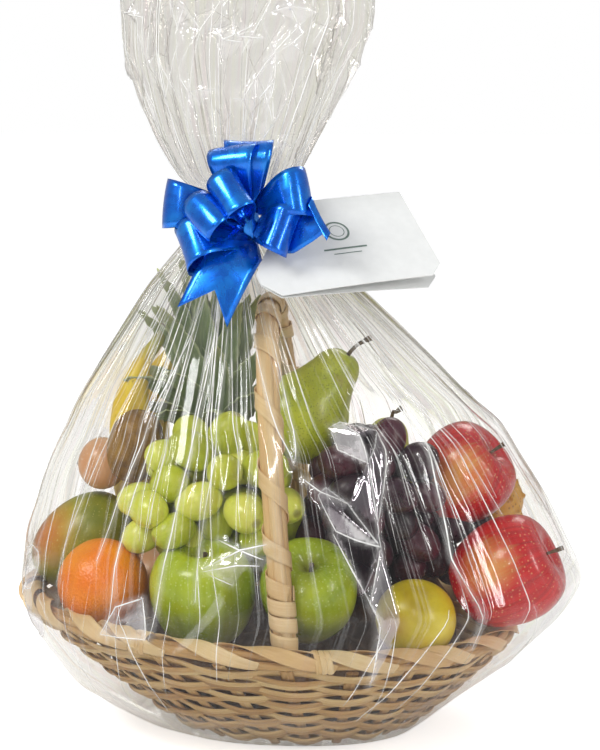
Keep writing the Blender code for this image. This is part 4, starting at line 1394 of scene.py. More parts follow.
LEFT_PEAK, LEFT_RIM = (4.21, 0.115, 0.006), (
    (4.10, 0.101, 0.000), (4.17, 0.122, 0.001), (4.28, 0.130, 0.001), (4.30, 0.102, 0.000),
)


def fan(peak, rim, looks):
    """Flat facets from each side of a rim up to its peak; a look is (painted dark reflection, mist as painted
    white sheen).
    """
    return tuple((*look, first, second, peak) for look, first, second in zip(looks, rim, rim[1:] + rim[:1]))


def edge_of(rim):
    """The places round a rim and back to the first, as (turn, height)."""
    return [corner[:2] for corner in rim + rim[:1]]


CREASES = (
    # brightness, half width, ridge, then places on the sheet as (turn, height)
    (1.0, 0.0016, 0.0014, (5.40, 0.345), (5.42, 0.261), (5.33, 0.199), (5.28, 0.158), (5.37, 0.095)),
    (0.8, 0.0012, 0.0010, (5.50, 0.330), (5.55, 0.260), (5.63, 0.181)),
    (0.9, 0.0013, 0.0012, (4.34, 0.333), (4.20, 0.261), (4.07, 0.151)),
    (0.9, 0.0012, 0.0012, (4.28, 0.326), (4.18, 0.181), (4.13, 0.097)),
    (1.0, 0.0014, 0.0012, (4.48, 0.326), (4.39, 0.184), (4.31, 0.101)),
    (0.8, 0.0011, 0.0010, (4.55, 0.307), (4.51, 0.211), (4.47, 0.131)),
    (0.7, 0.0011, 0.0008, (4.00, 0.310), (3.92, 0.220), (3.84, 0.130)),
    (0.9, 0.0012, 0.0010, (4.70, 0.330), (4.75, 0.243), (4.77, 0.221), (4.81, 0.243), (4.84, 0.310)),
    (1.0, 0.0016, 0.0016, (4.55, 0.172), (4.68, 0.160)),
    (1.0, 0.0014, 0.0014, (4.80, 0.212), (4.85, 0.204), (4.93, 0.197)),
    (1.0, 0.0015, 0.0016, (4.50, 0.153), (4.62, 0.166), (4.69, 0.170)),
    (1.0, 0.0013, 0.0012, (4.50, 0.151), (4.61, 0.156), (4.67, 0.156)),
    (0.8, 0.0012, 0.0012, (4.52, 0.149), (4.59, 0.143)),
    (
        1.0, 0.0015, 0.0016, (4.10, 0.101), (4.17, 0.122), (4.28, 0.130), (4.30, 0.102), (4.18, 0.101),
        (4.10, 0.101),
    ),
    (0.55, 0.0016, 0.0010, *edge_of(SHOULDER_RIM)),
    (0.8, 0.0014, 0.0010, (5.03, 0.248), (5.06, 0.237), (5.05, 0.222), (5.03, 0.183), (5.02, 0.168)),
    (0.8, 0.0015, 0.0010, (5.18, 0.242), (5.16, 0.230), (5.03, 0.183)),
    (0.6, 0.0016, 0.0010, *edge_of(MIDDLE_RIM)),
    (0.9, 0.0017, 0.0012, (5.02, 0.168), (4.94, 0.132), (5.03, 0.071)),
    (0.6, 0.0016, 0.0012, (4.87, 0.177), (4.93, 0.140), (5.00, 0.090)),
    (0.5, 0.0012, 0.0010, (5.60, 0.120), (5.78, 0.085), (5.95, 0.060)),
    (0.5, 0.0012, 0.0010, (3.70, 0.115), (3.88, 0.080), (4.05, 0.045)),
)
FACETS = (
    # a facet is its painted dark reflection, its mist as a painted white sheen, then three corners
    *fan(
        SHOULDER_PEAK, SHOULDER_RIM, ((0.22, 0.30), (0.42, 0.00), (0.62, 0.00), (0.22, 0.30), (0.26, 0.22))
    ),
    (0.50, 0.00, (5.18, 0.242, 0.001), (5.03, 0.183, 0.003), (5.05, 0.222, 0.004)),
    (0.44, 0.00, (5.05, 0.222, 0.004), (5.03, 0.183, 0.003), (4.94, 0.196, 0.000)),
    (0.64, 0.00, (5.03, 0.183, 0.003), (5.02, 0.168, 0.002), (4.94, 0.196, 0.000)),
    *fan(
        MIDDLE_PEAK, MIDDLE_RIM,
        ((0.34, 0.0), (0.42, 0.0), (0.64, 0.0), (0.20, 0.40), (0.40, 0.05), (0.46, 0.0)),
    ),
    (0.64, 0.00, (4.88, 0.179, 0.000), (5.02, 0.168, 0.003), (4.93, 0.140, 0.003)),
    (0.34, 0.04, (5.02, 0.168, 0.003), (4.94, 0.132, 0.003), (5.03, 0.071, 0.000)),
    *fan(LOW_PEAK, LOW_RIM, ((0.05, 0.10), (0.10, 0.16), (0.04, 0.05), (0.04, 0.12))),
    (0.00, 0.16, (4.39, 0.092, 0.000), (4.55, 0.137, 0.001), (4.56, 0.132, 0.001)),
    (0.00, 0.16, (4.39, 0.092, 0.000), (4.56, 0.132, 0.001), (4.45, 0.098, 0.001)),
    *fan(LEFT_PEAK, LEFT_RIM, ((0.10, 0.10), (0.06, 0.04), (0.14, 0.14), (0.04, 0.08))),
)

chance = np.random.default_rng(23)


def folds(count, low, high, widths, heights, drift):
    """Straight creases along the sheet: centre, ends, width, ridge, slant, brightness."""
    made = []
    for _ in range(count):
        ends = sorted((chance.uniform(*low), chance.uniform(*high)))
        made.append((
            chance.uniform(0, math.tau), *ends, chance.uniform(*widths),
            chance.uniform(*heights) * chance.choice((-1, 1, 1)),
            chance.uniform(-drift, drift), chance.uniform(0.1, 1) ** 2,
        ))
    return made


FOLDS = (
    folds(130, (0.06, 0.22), (0.36, 0.40), (0.014, 0.040), (0.0004, 0.0013), 0.40)
    + folds(80, (0.20, 0.31), (0.37, 0.41), (0.02, 0.06), (0.0008, 0.0024), 0.3)
    + folds(46, (0.37, 0.41), (0.50, 0.66), (0.05, 0.20), (0.001, 0.0042), 0.9)
    + folds(70, (0.38, 0.40), (0.42, 0.49), (0.02, 0.07), (0.0006, 0.0022), 0.9)
    + folds(30, (0.00, 0.06), (0.10, 0.16), (0.02, 0.05), (0.0004, 0.0014), 2.0)
)
# the same sort of crumple all the way round: a few fans of facets at each side and behind
for _ in range(16):
    turn_at, level = chance.uniform(-0.6, 3.7), chance.uniform(0.06, 0.27)
    peak = chance.uniform(0.004, 0.008) * min(1, 0.15 + abs(math.sin(turn_at)))
    rim = [
        (
            turn_at + chance.uniform(0.06, 0.15) * math.cos(a),
            level + chance.uniform(0.008, 0.024) * math.sin(a), 0.0,
        )
        for a in np.sort(chance.uniform(0, math.tau, 6))
    ]
    # shine: a painted dark reflection for these facets; the second value of each look is a painted white
    # sheen
    shine = chance.uniform(0.0, 0.35)
    FACETS += fan((turn_at, level, peak), rim, [(shine, chance.uniform(0, 0.3)) for _ in rim])
    CREASES += ((0.7, 0.0014, 0.001, *edge_of(rim)),)
# the flare is stiffer: short straight creases at all slants, and sharp fans of facets
FLARE_FACETS, FLARE_CREASES = (), ()
for _ in range(44):
    turn_at, level = chance.uniform(0, math.tau), chance.uniform(0.415, 0.580)
    peak = chance.uniform(0.001, 0.004)
    rim = [
        (
            turn_at + chance.uniform(0.08, 0.30) * math.cos(a),
            level + chance.uniform(0.010, 0.030) * math.sin(a), 0.0,
        )
        for a in np.sort(chance.uniform(0, math.tau, 5))
    ]
    # each look is a painted dark reflection and a painted white sheen
    looks = [(chance.uniform(0, 0.12), chance.uniform(0, 0.22) ** 1.3) for _ in rim]
    FLARE_FACETS += fan((turn_at, level, peak), rim, looks)
    for corner in rim[::2]:
        FLARE_CREASES += ((chance.uniform(0.3, 1.0), 0.0010, 0.0008, (turn_at, level), corner[:2]),)
for _ in range(90):
    turn_at, level = chance.uniform(0, math.tau), chance.uniform(0.41, 0.56)
    slant, length = chance.uniform(-0.45, 0.45), chance.uniform(0.015, 0.07)
    FLARE_CREASES += (
        (
            chance.uniform(0.2, 0.9), 0.0009, 0.0008, (turn_at, level),
            (turn_at + slant * length / FLARE_REACH, level + length),
        ),
    )


def film_part(name, start, stop, around, rows, material, facets, creases, sheet_scale):
    """One stretch of the sheet between two heights, with its folds, facets and creases."""
    outline = np.array(FILM_OUTLINE)
    knots = np.concatenate(([0], np.cumsum(np.hypot(np.diff(outline[:, 0]), np.diff(outline[:, 1])))))
    fine_at = np.linspace(0, knots[-1], 2000)
    fine = np.stack([np.interp(fine_at, knots, outline[:, k]) for k in range(5)], axis=1)
    for _ in range(260):
        fine[1:-1] = (fine[:-2] + 2 * fine[1:-1] + fine[2:]) / 4
    span = np.interp((start, stop), fine[:, 0], fine_at)
    ease = np.linspace(0, 1, 400)
    there = np.interp(span[0] + ease * (span[1] - span[0]), fine_at, fine[:, 0])
    closeness = np.where((there > 0.06) & (there < 0.27), 2.0, 1.0) if start < 0.01 else np.ones(400)
    spent = np.concatenate(([0], np.cumsum((closeness[1:] + closeness[:-1]) / 2)))
    rows_at = span[0] + (span[1] - span[0]) * np.interp(np.linspace(0, spent[-1], rows), spent, ease)
    height, left, right, depth, ruffle = (
        np.interp(rows_at, fine_at, fine[:, k])[:, None] for k in range(5)
    )
    turn = np.linspace(0, math.tau, around, endpoint=False)[None, :]
    power = 0.86 + 0.14 * np.clip((height - 0.22) / 0.14, 0, 1)
    reach = 1 + ruffle * (np.cos(6 * turn) - 1) / 2
    cos, sin = np.cos(turn), np.sin(turn)
    spots = np.stack((
        (left + right) / 2 + (right - left) / 2 * reach * np.sign(cos) * np.abs(cos) ** power,
        depth * reach * np.sign(sin) * np.abs(sin) ** power,
        height + np.clip((height - 0.50) / 0.074, 0, 1) * (
            0.008 * np.sin(5 * turn + 1) + 0.012 * np.sin(2 * turn) - 0.016 * cos
        ),
    ), axis=2)
    out = np.cross(np.roll(spots, -1, axis=1) - np.roll(spots, 1, axis=1), np.gradient(spots, axis=0))
    out /= np.maximum(np.linalg.norm(out, axis=2, keepdims=True), 1e-12)

    push, glint, mist, mirror = (np.zeros((rows, around)) for _ in range(4))
    for centre, low, high, width, ridge, slant, bright in FOLDS:
        away = np.abs((turn - centre - slant * (height - FILM_NECK) + math.pi) % math.tau - math.pi)
        lengthwise = np.clip((height - low) / 0.03, 0, 1) * np.clip((high - height) / 0.03, 0, 1)
        push += ridge * np.clip(1 - away / width, 0, 1) * lengthwise
        # a thin painted white glint down every fold
        glint += np.clip(1.15 - away / 0.0105, 0, 1) * lengthwise * bright * 0.16
    neck_hold = np.clip(np.abs(height - FILM_NECK) / 0.030, 0.22, 1)
    push *= np.minimum(1, ((right - left) / 2 + depth) / 0.12) ** 0.8 * neck_hold

    dimple = np.array([
        [noise.noise(Vector((5 * math.cos(a), 5 * math.sin(a), 26 * h))) for a in turn[0, ::6]]
        for h in height[::2, 0]
    ])
    dimple = np.kron(dimple, np.ones((2, 6)))[:rows, :around]
    for _ in range(4):
        dimple = (np.roll(dimple, 1, 1) + 2 * dimple + np.roll(dimple, -1, 1)) / 4
        dimple[1:-1] = (dimple[:-2] + 2 * dimple[1:-1] + dimple[2:]) / 4
    push += 0.0026 * dimple * np.clip((0.33 - height) / 0.1, 0, 1) * np.clip(height / 0.05, 0, 1)

    # each facet lays its painted dark reflection and its painted white sheen on the points it covers
    for shine, painted_white_sheen, *corners in facets:
        (ax, ay), (bx, by), (cx, cy) = (((c[0] - corners[0][0]) * sheet_scale, c[1]) for c in corners)
        px = ((turn - corners[0][0] + math.pi) % math.tau - math.pi) * sheet_scale + 0 * height
        py = height + 0 * turn
        whole = (by - cy) * (ax - cx) + (cx - bx) * (ay - cy)
        u = ((by - cy) * (px - cx) + (cx - bx) * (py - cy)) / whole
        v = ((cy - ay) * (px - cx) + (ax - cx) * (py - cy)) / whole
        within = (u >= 0) & (v >= 0) & (u + v <= 1)
        push = np.where(
            within, push * 0.3 + u * corners[0][2] + v * corners[1][2] + (1 - u - v) * corners[2][2], push
        )
        mirror = np.where(within, np.maximum(mirror, shine), mirror)
        mist = np.where(within, np.maximum(mist, painted_white_sheen), mist)
    for bright, width, ridge, *run in creases:
        for (ta, ha), (tb, hb) in zip(run, run[1:]):
            px = ((turn - ta + math.pi) % math.tau - math.pi) * sheet_scale + 0 * height
            py = height - ha + 0 * turn
            dx, dy = (tb - ta) * sheet_scale, hb - ha
            along = np.clip((px * dx + py * dy) / (dx * dx + dy * dy), 0, 1)
            away = np.hypot(px - along * dx, py - along * dy)
            # a painted white glint along every crease
            glint = np.maximum(glint, 0.35 * bright * np.clip(1.3 - away / (2 * width), 0, 1))
            push += ridge * 0.6 * np.clip(1 - away / (width * 2.2), 0, 1)
    if start < 0.01:
        push[:3] = 0
    spots = spots + out * push[:, :, None]
    spots[:, :, 2] = np.maximum(spots[:, :, 2], 0.0005)

    points = spots.reshape(-1, 3).tolist()
    faces = ring_faces(around, rows)
    skin = np.stack(
        [np.broadcast_to(k, push.shape) for k in (cos, sin, height)], axis=2
    ).reshape(-1, 3).tolist()
    marks = {"glint": glint, "mist": mist, "mirror": mirror}
    marks = {key: np.clip(values, 0, 1).ravel().tolist() for key, values in marks.items()}
    if start < 0.01:
        points.append([0, 0, 0.0005])
        skin.append([0, 0, 0])
        faces += [((i + 1) % around, i, len(points) - 1) for i in range(around)]
        for values in marks.values():
            values.append(0.0)
    part = put(name, points, faces, material, skin=skin)
    store(part.data, **marks)
    settle(part, "clear_film", "film")
    return spots, out, height[:, 0]


def on_sheet(sheet, turn, level):
    """A place just off a finished stretch of the sheet, and which way the sheet faces there."""
    spots, out, levels = sheet
    around = spots.shape[1]
    row, column = float(np.interp(level, levels, np.arange(len(levels)))), turn / math.tau % 1 * around
    j, i = min(int(row), len(levels) - 2), int(column) % around
    u, v, k = column % 1, row - j, (i + 1) % around

    def between(grid):
        return (grid[j, i] * (1 - u) + grid[j, k] * u) * (1 - v) + (
            grid[j + 1, i] * (1 - u) + grid[j + 1, k] * u
        ) * v

    return between(spots) + between(out) * 0.0004, between(out)


def crease_glint_finish():
    """A sharp crease in the film: a painted white glint, uneven along its length."""
    material = bpy.data.materials.new("film crease")
    material.use_nodes = True
    tree = material.node_tree
    tree.nodes.clear()
    strength = mark(tree, "tone")
    uneven = ramp(tree, cloud(tree, place_of(tree), 34.0, 3), ((0.38, 0.25), (0.62, 0.95)))
    clear = node(tree, "ShaderNodeBsdfTransparent", {"Color": (1, 1, 1, 1)})
    white = node(
        tree, "ShaderNodeBsdfPrincipled",
        {"Base Color": (0.98, 0.975, 0.95, 1), "Roughness": 0.22, "Specular IOR Level": 0.8},
    )
    whole = node(
        tree, "ShaderNodeMixShader",
        {0: sums(tree, "MULTIPLY", strength, uneven), 1: clear.outputs[0], 2: white.outputs[0]},
    )
    node(tree, "ShaderNodeOutputMaterial", {"Surface": whole.outputs[0]})
    return material


def film_lines(name, sheet, start, stop, creases):
    """The sharp creases of one stretch: hair-thin ridges standing just off the sheet, painted white as
    glints.
    """
    runs = []

    def lay(bright, width, places):
        run, facing = zip(*(on_sheet(sheet, turn, level) for turn, level in places))
        ends = np.sin(math.pi * np.linspace(0.03, 0.97, len(places))) ** 0.5
        runs.append((run, facing, bright, ends * width / 0.001, False))

    for centre, low, high, _, _, slant, bright in FOLDS:
        low, high = max(low, start + 0.002), min(high, stop - 0.002)
        if high - low > 0.03 and bright > 0.05:
            levels = np.linspace(low, high, int((high - low) / 0.005))
            lay(
                min(1, 0.15 + bright), 0.0004 + 0.0007 * bright,
                [(centre + slant * (level - FILM_NECK), level) for level in levels],
            )
    for bright, width, _, *corners in creases:
        path = [
            (ta + (tb - ta) * k / 8, ha + (hb - ha) * k / 8)
            for (ta, ha), (tb, hb) in zip(corners, corners[1:])
            for k in range(8)
        ]
        lay(bright, width * 0.75, path + [corners[-1]])
    painted_glint_lines = grow(
        name, guides(name, runs), LAY_CANE, Width=0.001, Thickness=0.0003, Corners=4, Finish=CREASE_GLINT
    )
    settle(painted_glint_lines, "clear_film", "film")


def film_finish():
    """Clear film: mostly see-through, a painted dark reflection where it folds back, painted white glints in
    its creases.
    """
    material = bpy.data.materials.new("clear film")
    material.use_nodes = True
    tree = material.node_tree
    tree.nodes.clear()
    high = up_skin(tree)
    marks = {key: mark(tree, key) for key in ("glint", "mist", "mirror")}
    gathered = ramp(tree, high, ((0.24, 0.0), (0.37, 1.0)))
    tint = mixed(tree, gathered, (0.860, 0.857, 0.840, 1), (0.835, 0.826, 0.800, 1))
    # painted iridescent sheen: faint pink and yellow tints in the see-through colour
    painted_iridescence = cloud(tree, place_of(tree, (14, 14, 7), "skin"), 1.5, 3)
    blush = ramp(
        tree, painted_iridescence, ((0.35, (1.0, 0.965, 0.975, 1)), (0.5, (1, 1, 1, 1)), (0.65, (1.0, 1.0, 0.955, 1)))
    )
    clear = node(tree, "ShaderNodeBsdfTransparent", {"Color": mixed(tree, 1.0, tint, blush, "MULTIPLY")})
    sheen = node(tree, "ShaderNodeBsdfGlossy", {"Color": (1, 1, 1, 1), "Roughness": 0.10})
    edge_on = node(tree, "ShaderNodeFresnel", {"IOR": 1.45}).outputs[0]
    bright = node(
        tree, "ShaderNodeMixShader",
        {0: sums(tree, "MINIMUM", edge_on, 0.35), 1: clear.outputs[0], 2: sheen.outputs[0]},
    )
    # painted dark reflection: the gloss colour goes from pale grey to near black as the mark rises, so facets
    # look like dark mirrors
    depth = ramp(
        tree, marks["mirror"],
        ((0.18, (0.80, 0.75, 0.78, 1)), (0.42, (0.30, 0.27, 0.29, 1)), (0.62, (0.045, 0.04, 0.045, 1))),
    )
    folded = node(tree, "ShaderNodeBsdfGlossy", {"Color": depth, "Roughness": 0.10})
    share = sums(tree, "MINIMUM", sums(tree, "MULTIPLY", marks["mirror"], 1.5), 0.82)
    sheen_and_painted_reflection = node(tree, "ShaderNodeMixShader", {0: share, 1: bright.outputs[0], 2: folded.outputs[0]})
    white = node(
        tree, "ShaderNodeBsdfPrincipled",
        {"Base Color": (0.93, 0.92, 0.89, 1), "Roughness": 0.25, "Specular IOR Level": 0.8},
    )
    # painted glint streaks: thin white lines drawn along the sheet from stretched noise
    painted_glint_lines = ramp(
        tree, cloud(tree, place_of(tree, (34, 34, 2.4), "skin"), 1.6, 4, 0.6), ((0.60, 0.0), (0.66, 1.0))
    )
    fine_painted_glint_lines = ramp(
        tree, cloud(tree, place_of(tree, (100, 100, 3.0), "skin"), 1.3, 3, 0.6), ((0.63, 0.0), (0.67, 1.0))
    )
    haze_and_painted_glints = sums(tree, "ADD", sums(tree, "MULTIPLY", painted_glint_lines, 0.10), sums(tree, "MULTIPLY", fine_painted_glint_lines, 0.16))
    haze_and_painted_glints = sums(
        tree, "MULTIPLY", haze_and_painted_glints, ramp(tree, high, ((0.05, 0.35), (0.25, 1.0), (0.39, 1.0), (0.43, 0.08)))
    )
    # painted white glints in the creases and folds, and the mist mark's painted white sheen on facets
    haze_and_painted_glints = sums(tree, "ADD", haze_and_painted_glints, sums(tree, "MULTIPLY", marks["glint"], 0.40))
    haze_and_painted_glints = sums(tree, "ADD", haze_and_painted_glints, sums(tree, "MULTIPLY", marks["mist"], 0.75))
    haze_and_painted_glints = sums(tree, "ADD", haze_and_painted_glints, sums(tree, "MULTIPLY", gathered, 0.05))
    whole = node(
        tree, "ShaderNodeMixShader",
        {0: sums(tree, "MINIMUM", haze_and_painted_glints, 0.8), 1: sheen_and_painted_reflection.outputs[0], 2: white.outputs[0]},
    )
    node(tree, "ShaderNodeOutputMaterial", {"Surface": whole.outputs[0]})
    return material


FILM = film_finish()
CREASE_GLINT = crease_glint_finish()
skirt = film_part(
    "film_skirt", FILM_FOOT, FILM_NECK, FILM_AROUND, 136, FILM, FACETS, CREASES, SKIRT_REACH
)
flare = film_part(
    "film_flare", FILM_NECK, FILM_TOP, FILM_AROUND, 120, FILM, FLARE_FACETS, FLARE_CREASES, FLARE_REACH
)
film_lines("film_skirt_creases", skirt, FILM_FOOT, FILM_NECK, CREASES)
film_lines("film_flare_creases", flare, FILM_NECK, FILM_TOP, FLARE_CREASES)

# ---------------------------------------------------------------------------------------
# Bow: metallic blue pull ribbon drawn into eight stiff loops round the neck, with one
# notched tail hanging in front and one short end at the right.
# ---------------------------------------------------------------------------------------
BOW_CENTRE = Vector((-0.033, -0.037, 0.377))
RIBBON_WIDTH, RIBBON_THICKNESS, RIBBON_ACROSS = 0.0355, 0.0005, 8
BOW_LOOPS = (
    # root, direction it stands out, direction across the ribbon, length
    ((-0.001, -0.002, 0.011), (-0.18, -0.20, 1), (0.95, -0.20, -0.16), 0.046),
    ((0.001, 0, 0.011), (0, 0.02, 1), (0.97, 0.05, -0.18), 0.048),
    ((0.005, -0.002, 0.014), (0.80, -0.45, 0.28), (0.12, 0.10, 1), 0.044),
    ((0.005, -0.003, 0), (0.65, -0.75, 0), (0.35, 0.20, 0.90), 0.038),
    ((-0.006, -0.002, 0.011), (-0.97, -0.15, 0.12), (0.05, 0.10, 1), 0.051),
    ((0.004, -0.008, -0.009), (-0.88, -0.44, -0.06), (0.04, 0.66, 0.72), 0.050),
    ((-0.004, -0.004, 0.002), (-0.55, -0.80, 0.20), (0.75, -0.30, -0.60), 0.044),
    ((-0.001, -0.004, 0.006), (-0.20, -0.80, 0.50), (0.45, 0.30, -0.80), 0.041),
)


def ribbon_finish():
    material, tree, shader = finish(
        "metallic blue ribbon", 0.28, Metallic=0.8, Coat_Weight=0.5, Coat_Roughness=0.1
    )
    length_wise = cloud(tree, place_of(tree, (1.5, 5.0, 1), "skin"), 1.6, 3)
    broad = cloud(tree, place_of(tree), 36.0, 2)
    base = ramp(
        tree,
        sums(tree, "ADD", sums(tree, "MULTIPLY", length_wise, 0.4), sums(tree, "MULTIPLY", broad, 0.6)),
        ((0.3, linear(0, 80, 190)), (0.5, linear(0, 106, 212)), (0.7, linear(26, 140, 232))),
    )
    coat(tree, shader, base, ramp(tree, length_wise, ((0.3, 0.22), (0.7, 0.34))))
    return material


RIBBON = ribbon_finish()
ribbon_points, ribbon_skin, ribbon_faces = [], [], []


def lay_ribbon(centres, acrosses, widths, cup=0.0):
    """Adds one run of ribbon: a grid of points across and along."""
    first = len(ribbon_points)
    for j, (centre, across, width) in enumerate(zip(centres, acrosses, widths)):
        ahead = (
            Vector(centres[min(j + 1, len(centres) - 1)]) - Vector(centres[max(j - 1, 0)])
        ).normalized()
        up = across.cross(ahead).normalized()
        for i in range(RIBBON_ACROSS + 1):
            w = 2 * i / RIBBON_ACROSS - 1
            ribbon_points.append(Vector(centre) + across * w * width / 2 + up * cup * width * (w * w - 0.4))
            ribbon_skin.append((w, j / len(centres), 0))
    ribbon_faces.extend(strip_faces(first, len(centres) - 1, RIBBON_ACROSS))


for k, (root, toward, across, length) in enumerate(BOW_LOOPS):
    toward = Vector(toward).normalized()
    across = Vector(across)
    across = (across - toward * across.dot(toward)).normalized()
    normal = across.cross(toward)
    start = BOW_CENTRE + Vector(root)
    centres, widths = [], []
    for j in range(41):
        t = j / 40
        out_by = 1.05 * length * math.sin(math.pi * t) ** 0.8
        open_by = length * 0.27 * math.sin(math.tau * t)
        centres.append(start + toward * out_by + normal * open_by)
        widths.append(RIBBON_WIDTH * (0.16 + 0.84 * math.sin(math.pi * t) ** 0.5))
    lay_ribbon(centres, [across] * 41, widths, 0.03 * (1 if k % 2 else -1))

tail_path = smooth_path(
    (
        (-0.032, -0.040, 0.372), (-0.039, -0.064, 0.361), (-0.046, -0.076, 0.348), (-0.052, -0.081, 0.336),
        (-0.057, -0.084, 0.325),
    ),
    30,
)
tail_side = Vector((0.92, 0.05, -0.38)).normalized()
lay_ribbon(
    [Vector(p) for p in tail_path], [tail_side] * 30,
    [RIBBON_WIDTH * (0.35 + 0.70 * min(1, j / 9)) for j in range(30)], 0.04,
)
tail_down = Vector(tail_path[-1] - tail_path[-4]).normalized()
NOTCH_ROWS, NOTCH_DEPTH = 16, 0.021
notch_points, middle = (RIBBON_ACROSS + 1) * NOTCH_ROWS, RIBBON_ACROSS / 2
for step in range(notch_points):
    row, column = divmod(step, RIBBON_ACROSS + 1)
    cut = NOTCH_DEPTH * (abs(column - middle) / middle - 0.62) * (row + 1) / NOTCH_ROWS
    ribbon_points[len(ribbon_points) - notch_points + step] += tail_down * cut
end_path = smooth_path(
    (
        (-0.026, -0.040, 0.372), (-0.010, -0.052, 0.371), (0.006, -0.058, 0.380), (0.016, -0.060, 0.387),
        (0.021, -0.066, 0.388), (0.019, -0.072, 0.383),
    ),
    28,
)
end_side = Vector((-0.45, 0.40, 0.80)).normalized()
lay_ribbon(
    [Vector(p) for p in end_path], [end_side] * 28,
    [RIBBON_WIDTH * (0.35 + 0.5 * min(1, j / 10)) for j in range(28)], 0.03,
)

bow = put("bow_ribbon", ribbon_points, ribbon_faces, RIBBON, skin=ribbon_skin)
shell = bow.modifiers.new("thickness", "SOLIDIFY")
shell.thickness, shell.offset = RIBBON_THICKNESS, 0
settle(bow, "ribbon", "bow")

tie_runs = []
for level in (0.3865, 0.3905, 0.3945):
    run, facing = [], []
    for i in range(72):
        a = math.tau * i / 72
        ripple = 0.0008 * math.sin(9 * a + level * 900)
        run.append(
            Vector((-0.039 + (0.0285 + ripple) * math.cos(a), (0.0216 + ripple) * math.sin(a), level))
        )
        facing.append((math.cos(a), math.sin(a), 0))
    tie_runs.append((run, facing, 0.5, 1.0, True))
tie = grow(
    "bow_tie_band", guides("tie", tie_runs), LAY_CANE, Width=0.0042, Thickness=0.0008, Corners=10,
    Finish=RIBBON,
)
settle(tie, "ribbon", "bow_tie")
knot = turned(
    "bow_knot", round_outline(0.0085, 0.017), standing(BOW_CENTRE + Vector((0, 0.001, 0)), 8), RIBBON,
    around=40, rows=30, swell=lumpy(0.10, 7, 2, 0.05),
)
settle(knot, "ribbon", "bow")

# ---------------------------------------------------------------------------------------
# Tag: a folded white card tied in behind the bow, its corners clipped, printed with a
# small plain double ring and two rules. The back leaf stands a few degrees open.
# ---------------------------------------------------------------------------------------
TAG_CENTRE = Vector((0.030, -0.0245, 0.3655))
TAG_HALF_LONG, TAG_HALF_HIGH, TAG_THICKNESS, TAG_ROLL = 0.0700, 0.0440, 0.0006, math.radians(2)
tag_across = Vector((0.897, 0.436, 0.059)).normalized()
tag_up = Vector((-0.363, 0.680, 0.636))
tag_up = (tag_up - tag_across * tag_up.dot(tag_across)).normalized()
tag_across, tag_up = (
    tag_across * math.cos(TAG_ROLL) + tag_up * math.sin(TAG_ROLL),
    tag_up * math.cos(TAG_ROLL) - tag_across * math.sin(TAG_ROLL),
)
tag_facing = tag_across.cross(tag_up)
TAG_CORNERS = (
    (-TAG_HALF_LONG + 0.048, TAG_HALF_HIGH), (-TAG_HALF_LONG, -TAG_HALF_HIGH + 0.024),
    (-TAG_HALF_LONG, -TAG_HALF_HIGH + 0.013),
    (-TAG_HALF_LONG + 0.011, -TAG_HALF_HIGH), (TAG_HALF_LONG - 0.011, -TAG_HALF_HIGH),
    (TAG_HALF_LONG, -TAG_HALF_HIGH + 0.011),
    (TAG_HALF_LONG, TAG_HALF_HIGH),
)
card_finish, tree, shader = finish("white card", 0.62, Sheen_Weight=0.05)
coat(
    tree, shader,
    ramp(
        tree, cloud(tree, place_of(tree), 130.0, 5),
        ((0.35, linear(212, 213, 211)), (0.65, linear(216, 217, 215))),
    ),
)
raised(tree, shader, cloud(tree, place_of(tree), 900.0, 3), 0.05, 0.0003)


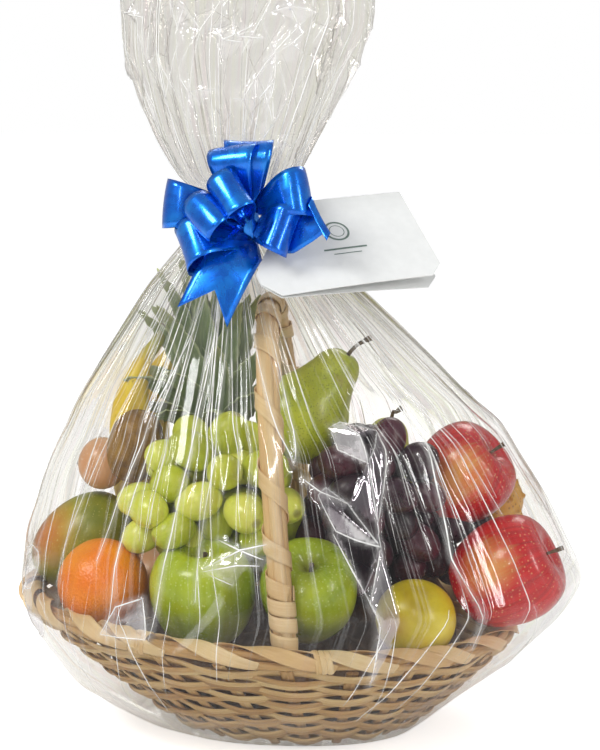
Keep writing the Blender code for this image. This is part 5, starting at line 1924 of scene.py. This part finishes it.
def tag_leaf(name, turn_back, lift):
    """One leaf of the card, a little bowed, turned open about its left edge."""
    form = bmesh.new()
    corners = [form.verts.new((x, y, 0)) for x, y in TAG_CORNERS]
    form.faces.new(corners)
    for k in range(1, 12):
        x = -TAG_HALF_LONG + 2 * TAG_HALF_LONG * k / 12
        bmesh.ops.bisect_plane(
            form, geom=form.verts[:] + form.edges[:] + form.faces[:], plane_co=(x, 0, 0), plane_no=(1, 0, 0)
        )
    for v in form.verts:
        hinge = v.co.x + TAG_HALF_LONG
        v.co.z = lift - hinge * math.tan(math.radians(turn_back)) + 0.0012 * math.sin(
            math.pi * hinge / (2 * TAG_HALF_LONG)
        )
    for v in form.verts:
        v.co = TAG_CENTRE + tag_across * v.co.x + tag_up * v.co.y + tag_facing * v.co.z
    form.normal_update()
    if sum((f.normal * f.calc_area() for f in form.faces), Vector()).dot(tag_facing) < 0:
        bmesh.ops.reverse_faces(form, faces=form.faces)
    mesh = bpy.data.meshes.new(name)
    form.to_mesh(mesh)
    form.free()
    mesh.materials.append(card_finish)
    leaf = bpy.data.objects.new(name, mesh)
    scene.collection.objects.link(leaf)
    shell = leaf.modifiers.new("thickness", "SOLIDIFY")
    shell.thickness = TAG_THICKNESS
    return leaf


settle(tag_leaf("tag_front_leaf", 0, 0.0), "card", "tag")
settle(tag_leaf("tag_back_leaf", 5, -0.0012), "card", "tag")

PRINT_INK, tree, shader = finish("printed ink", 0.5)
coat(
    tree, shader,
    ramp(
        tree, cloud(tree, place_of(tree), 300.0, 3),
        ((0.3, linear(86, 104, 96)), (0.7, linear(108, 126, 116))),
    ),
)
print_points, print_faces = [], []


def on_card(x, y):
    hinge = x + TAG_HALF_LONG
    lift = 0.00018 + 0.0012 * math.sin(math.pi * hinge / (2 * TAG_HALF_LONG))
    return TAG_CENTRE + tag_across * x + tag_up * y + tag_facing * lift


def print_ring(centre, inner, outer, steps=48):
    first = len(print_points)
    for i in range(steps):
        a = math.tau * i / steps
        for radius in (inner, outer):
            print_points.append(on_card(centre[0] + radius * math.cos(a), centre[1] + radius * math.sin(a)))
    for i in range(steps):
        j = (i + 1) % steps
        print_faces.append((first + 2 * i, first + 2 * i + 1, first + 2 * j + 1, first + 2 * j))


def print_bar(left_end, right_end, level, thick):
    first = len(print_points)
    for i in range(7):
        x = left_end + (right_end - left_end) * i / 6
        print_points.extend((on_card(x, level), on_card(x, level + thick)))
    print_faces.extend(
        (first + 2 * i, first + 2 * i + 2, first + 2 * i + 3, first + 2 * i + 1) for i in range(6)
    )


print_ring((0.004, 0.010), 0.0080, 0.0096)
print_ring((0.004, 0.010), 0.0052, 0.0058)
print_bar(-0.013, 0.021, -0.0085, 0.0016)
print_bar(-0.007, 0.015, -0.0130, 0.0008)
tag_print = put("tag_print", print_points, print_faces, PRINT_INK, smooth=False)
settle(tag_print, "card", "tag")
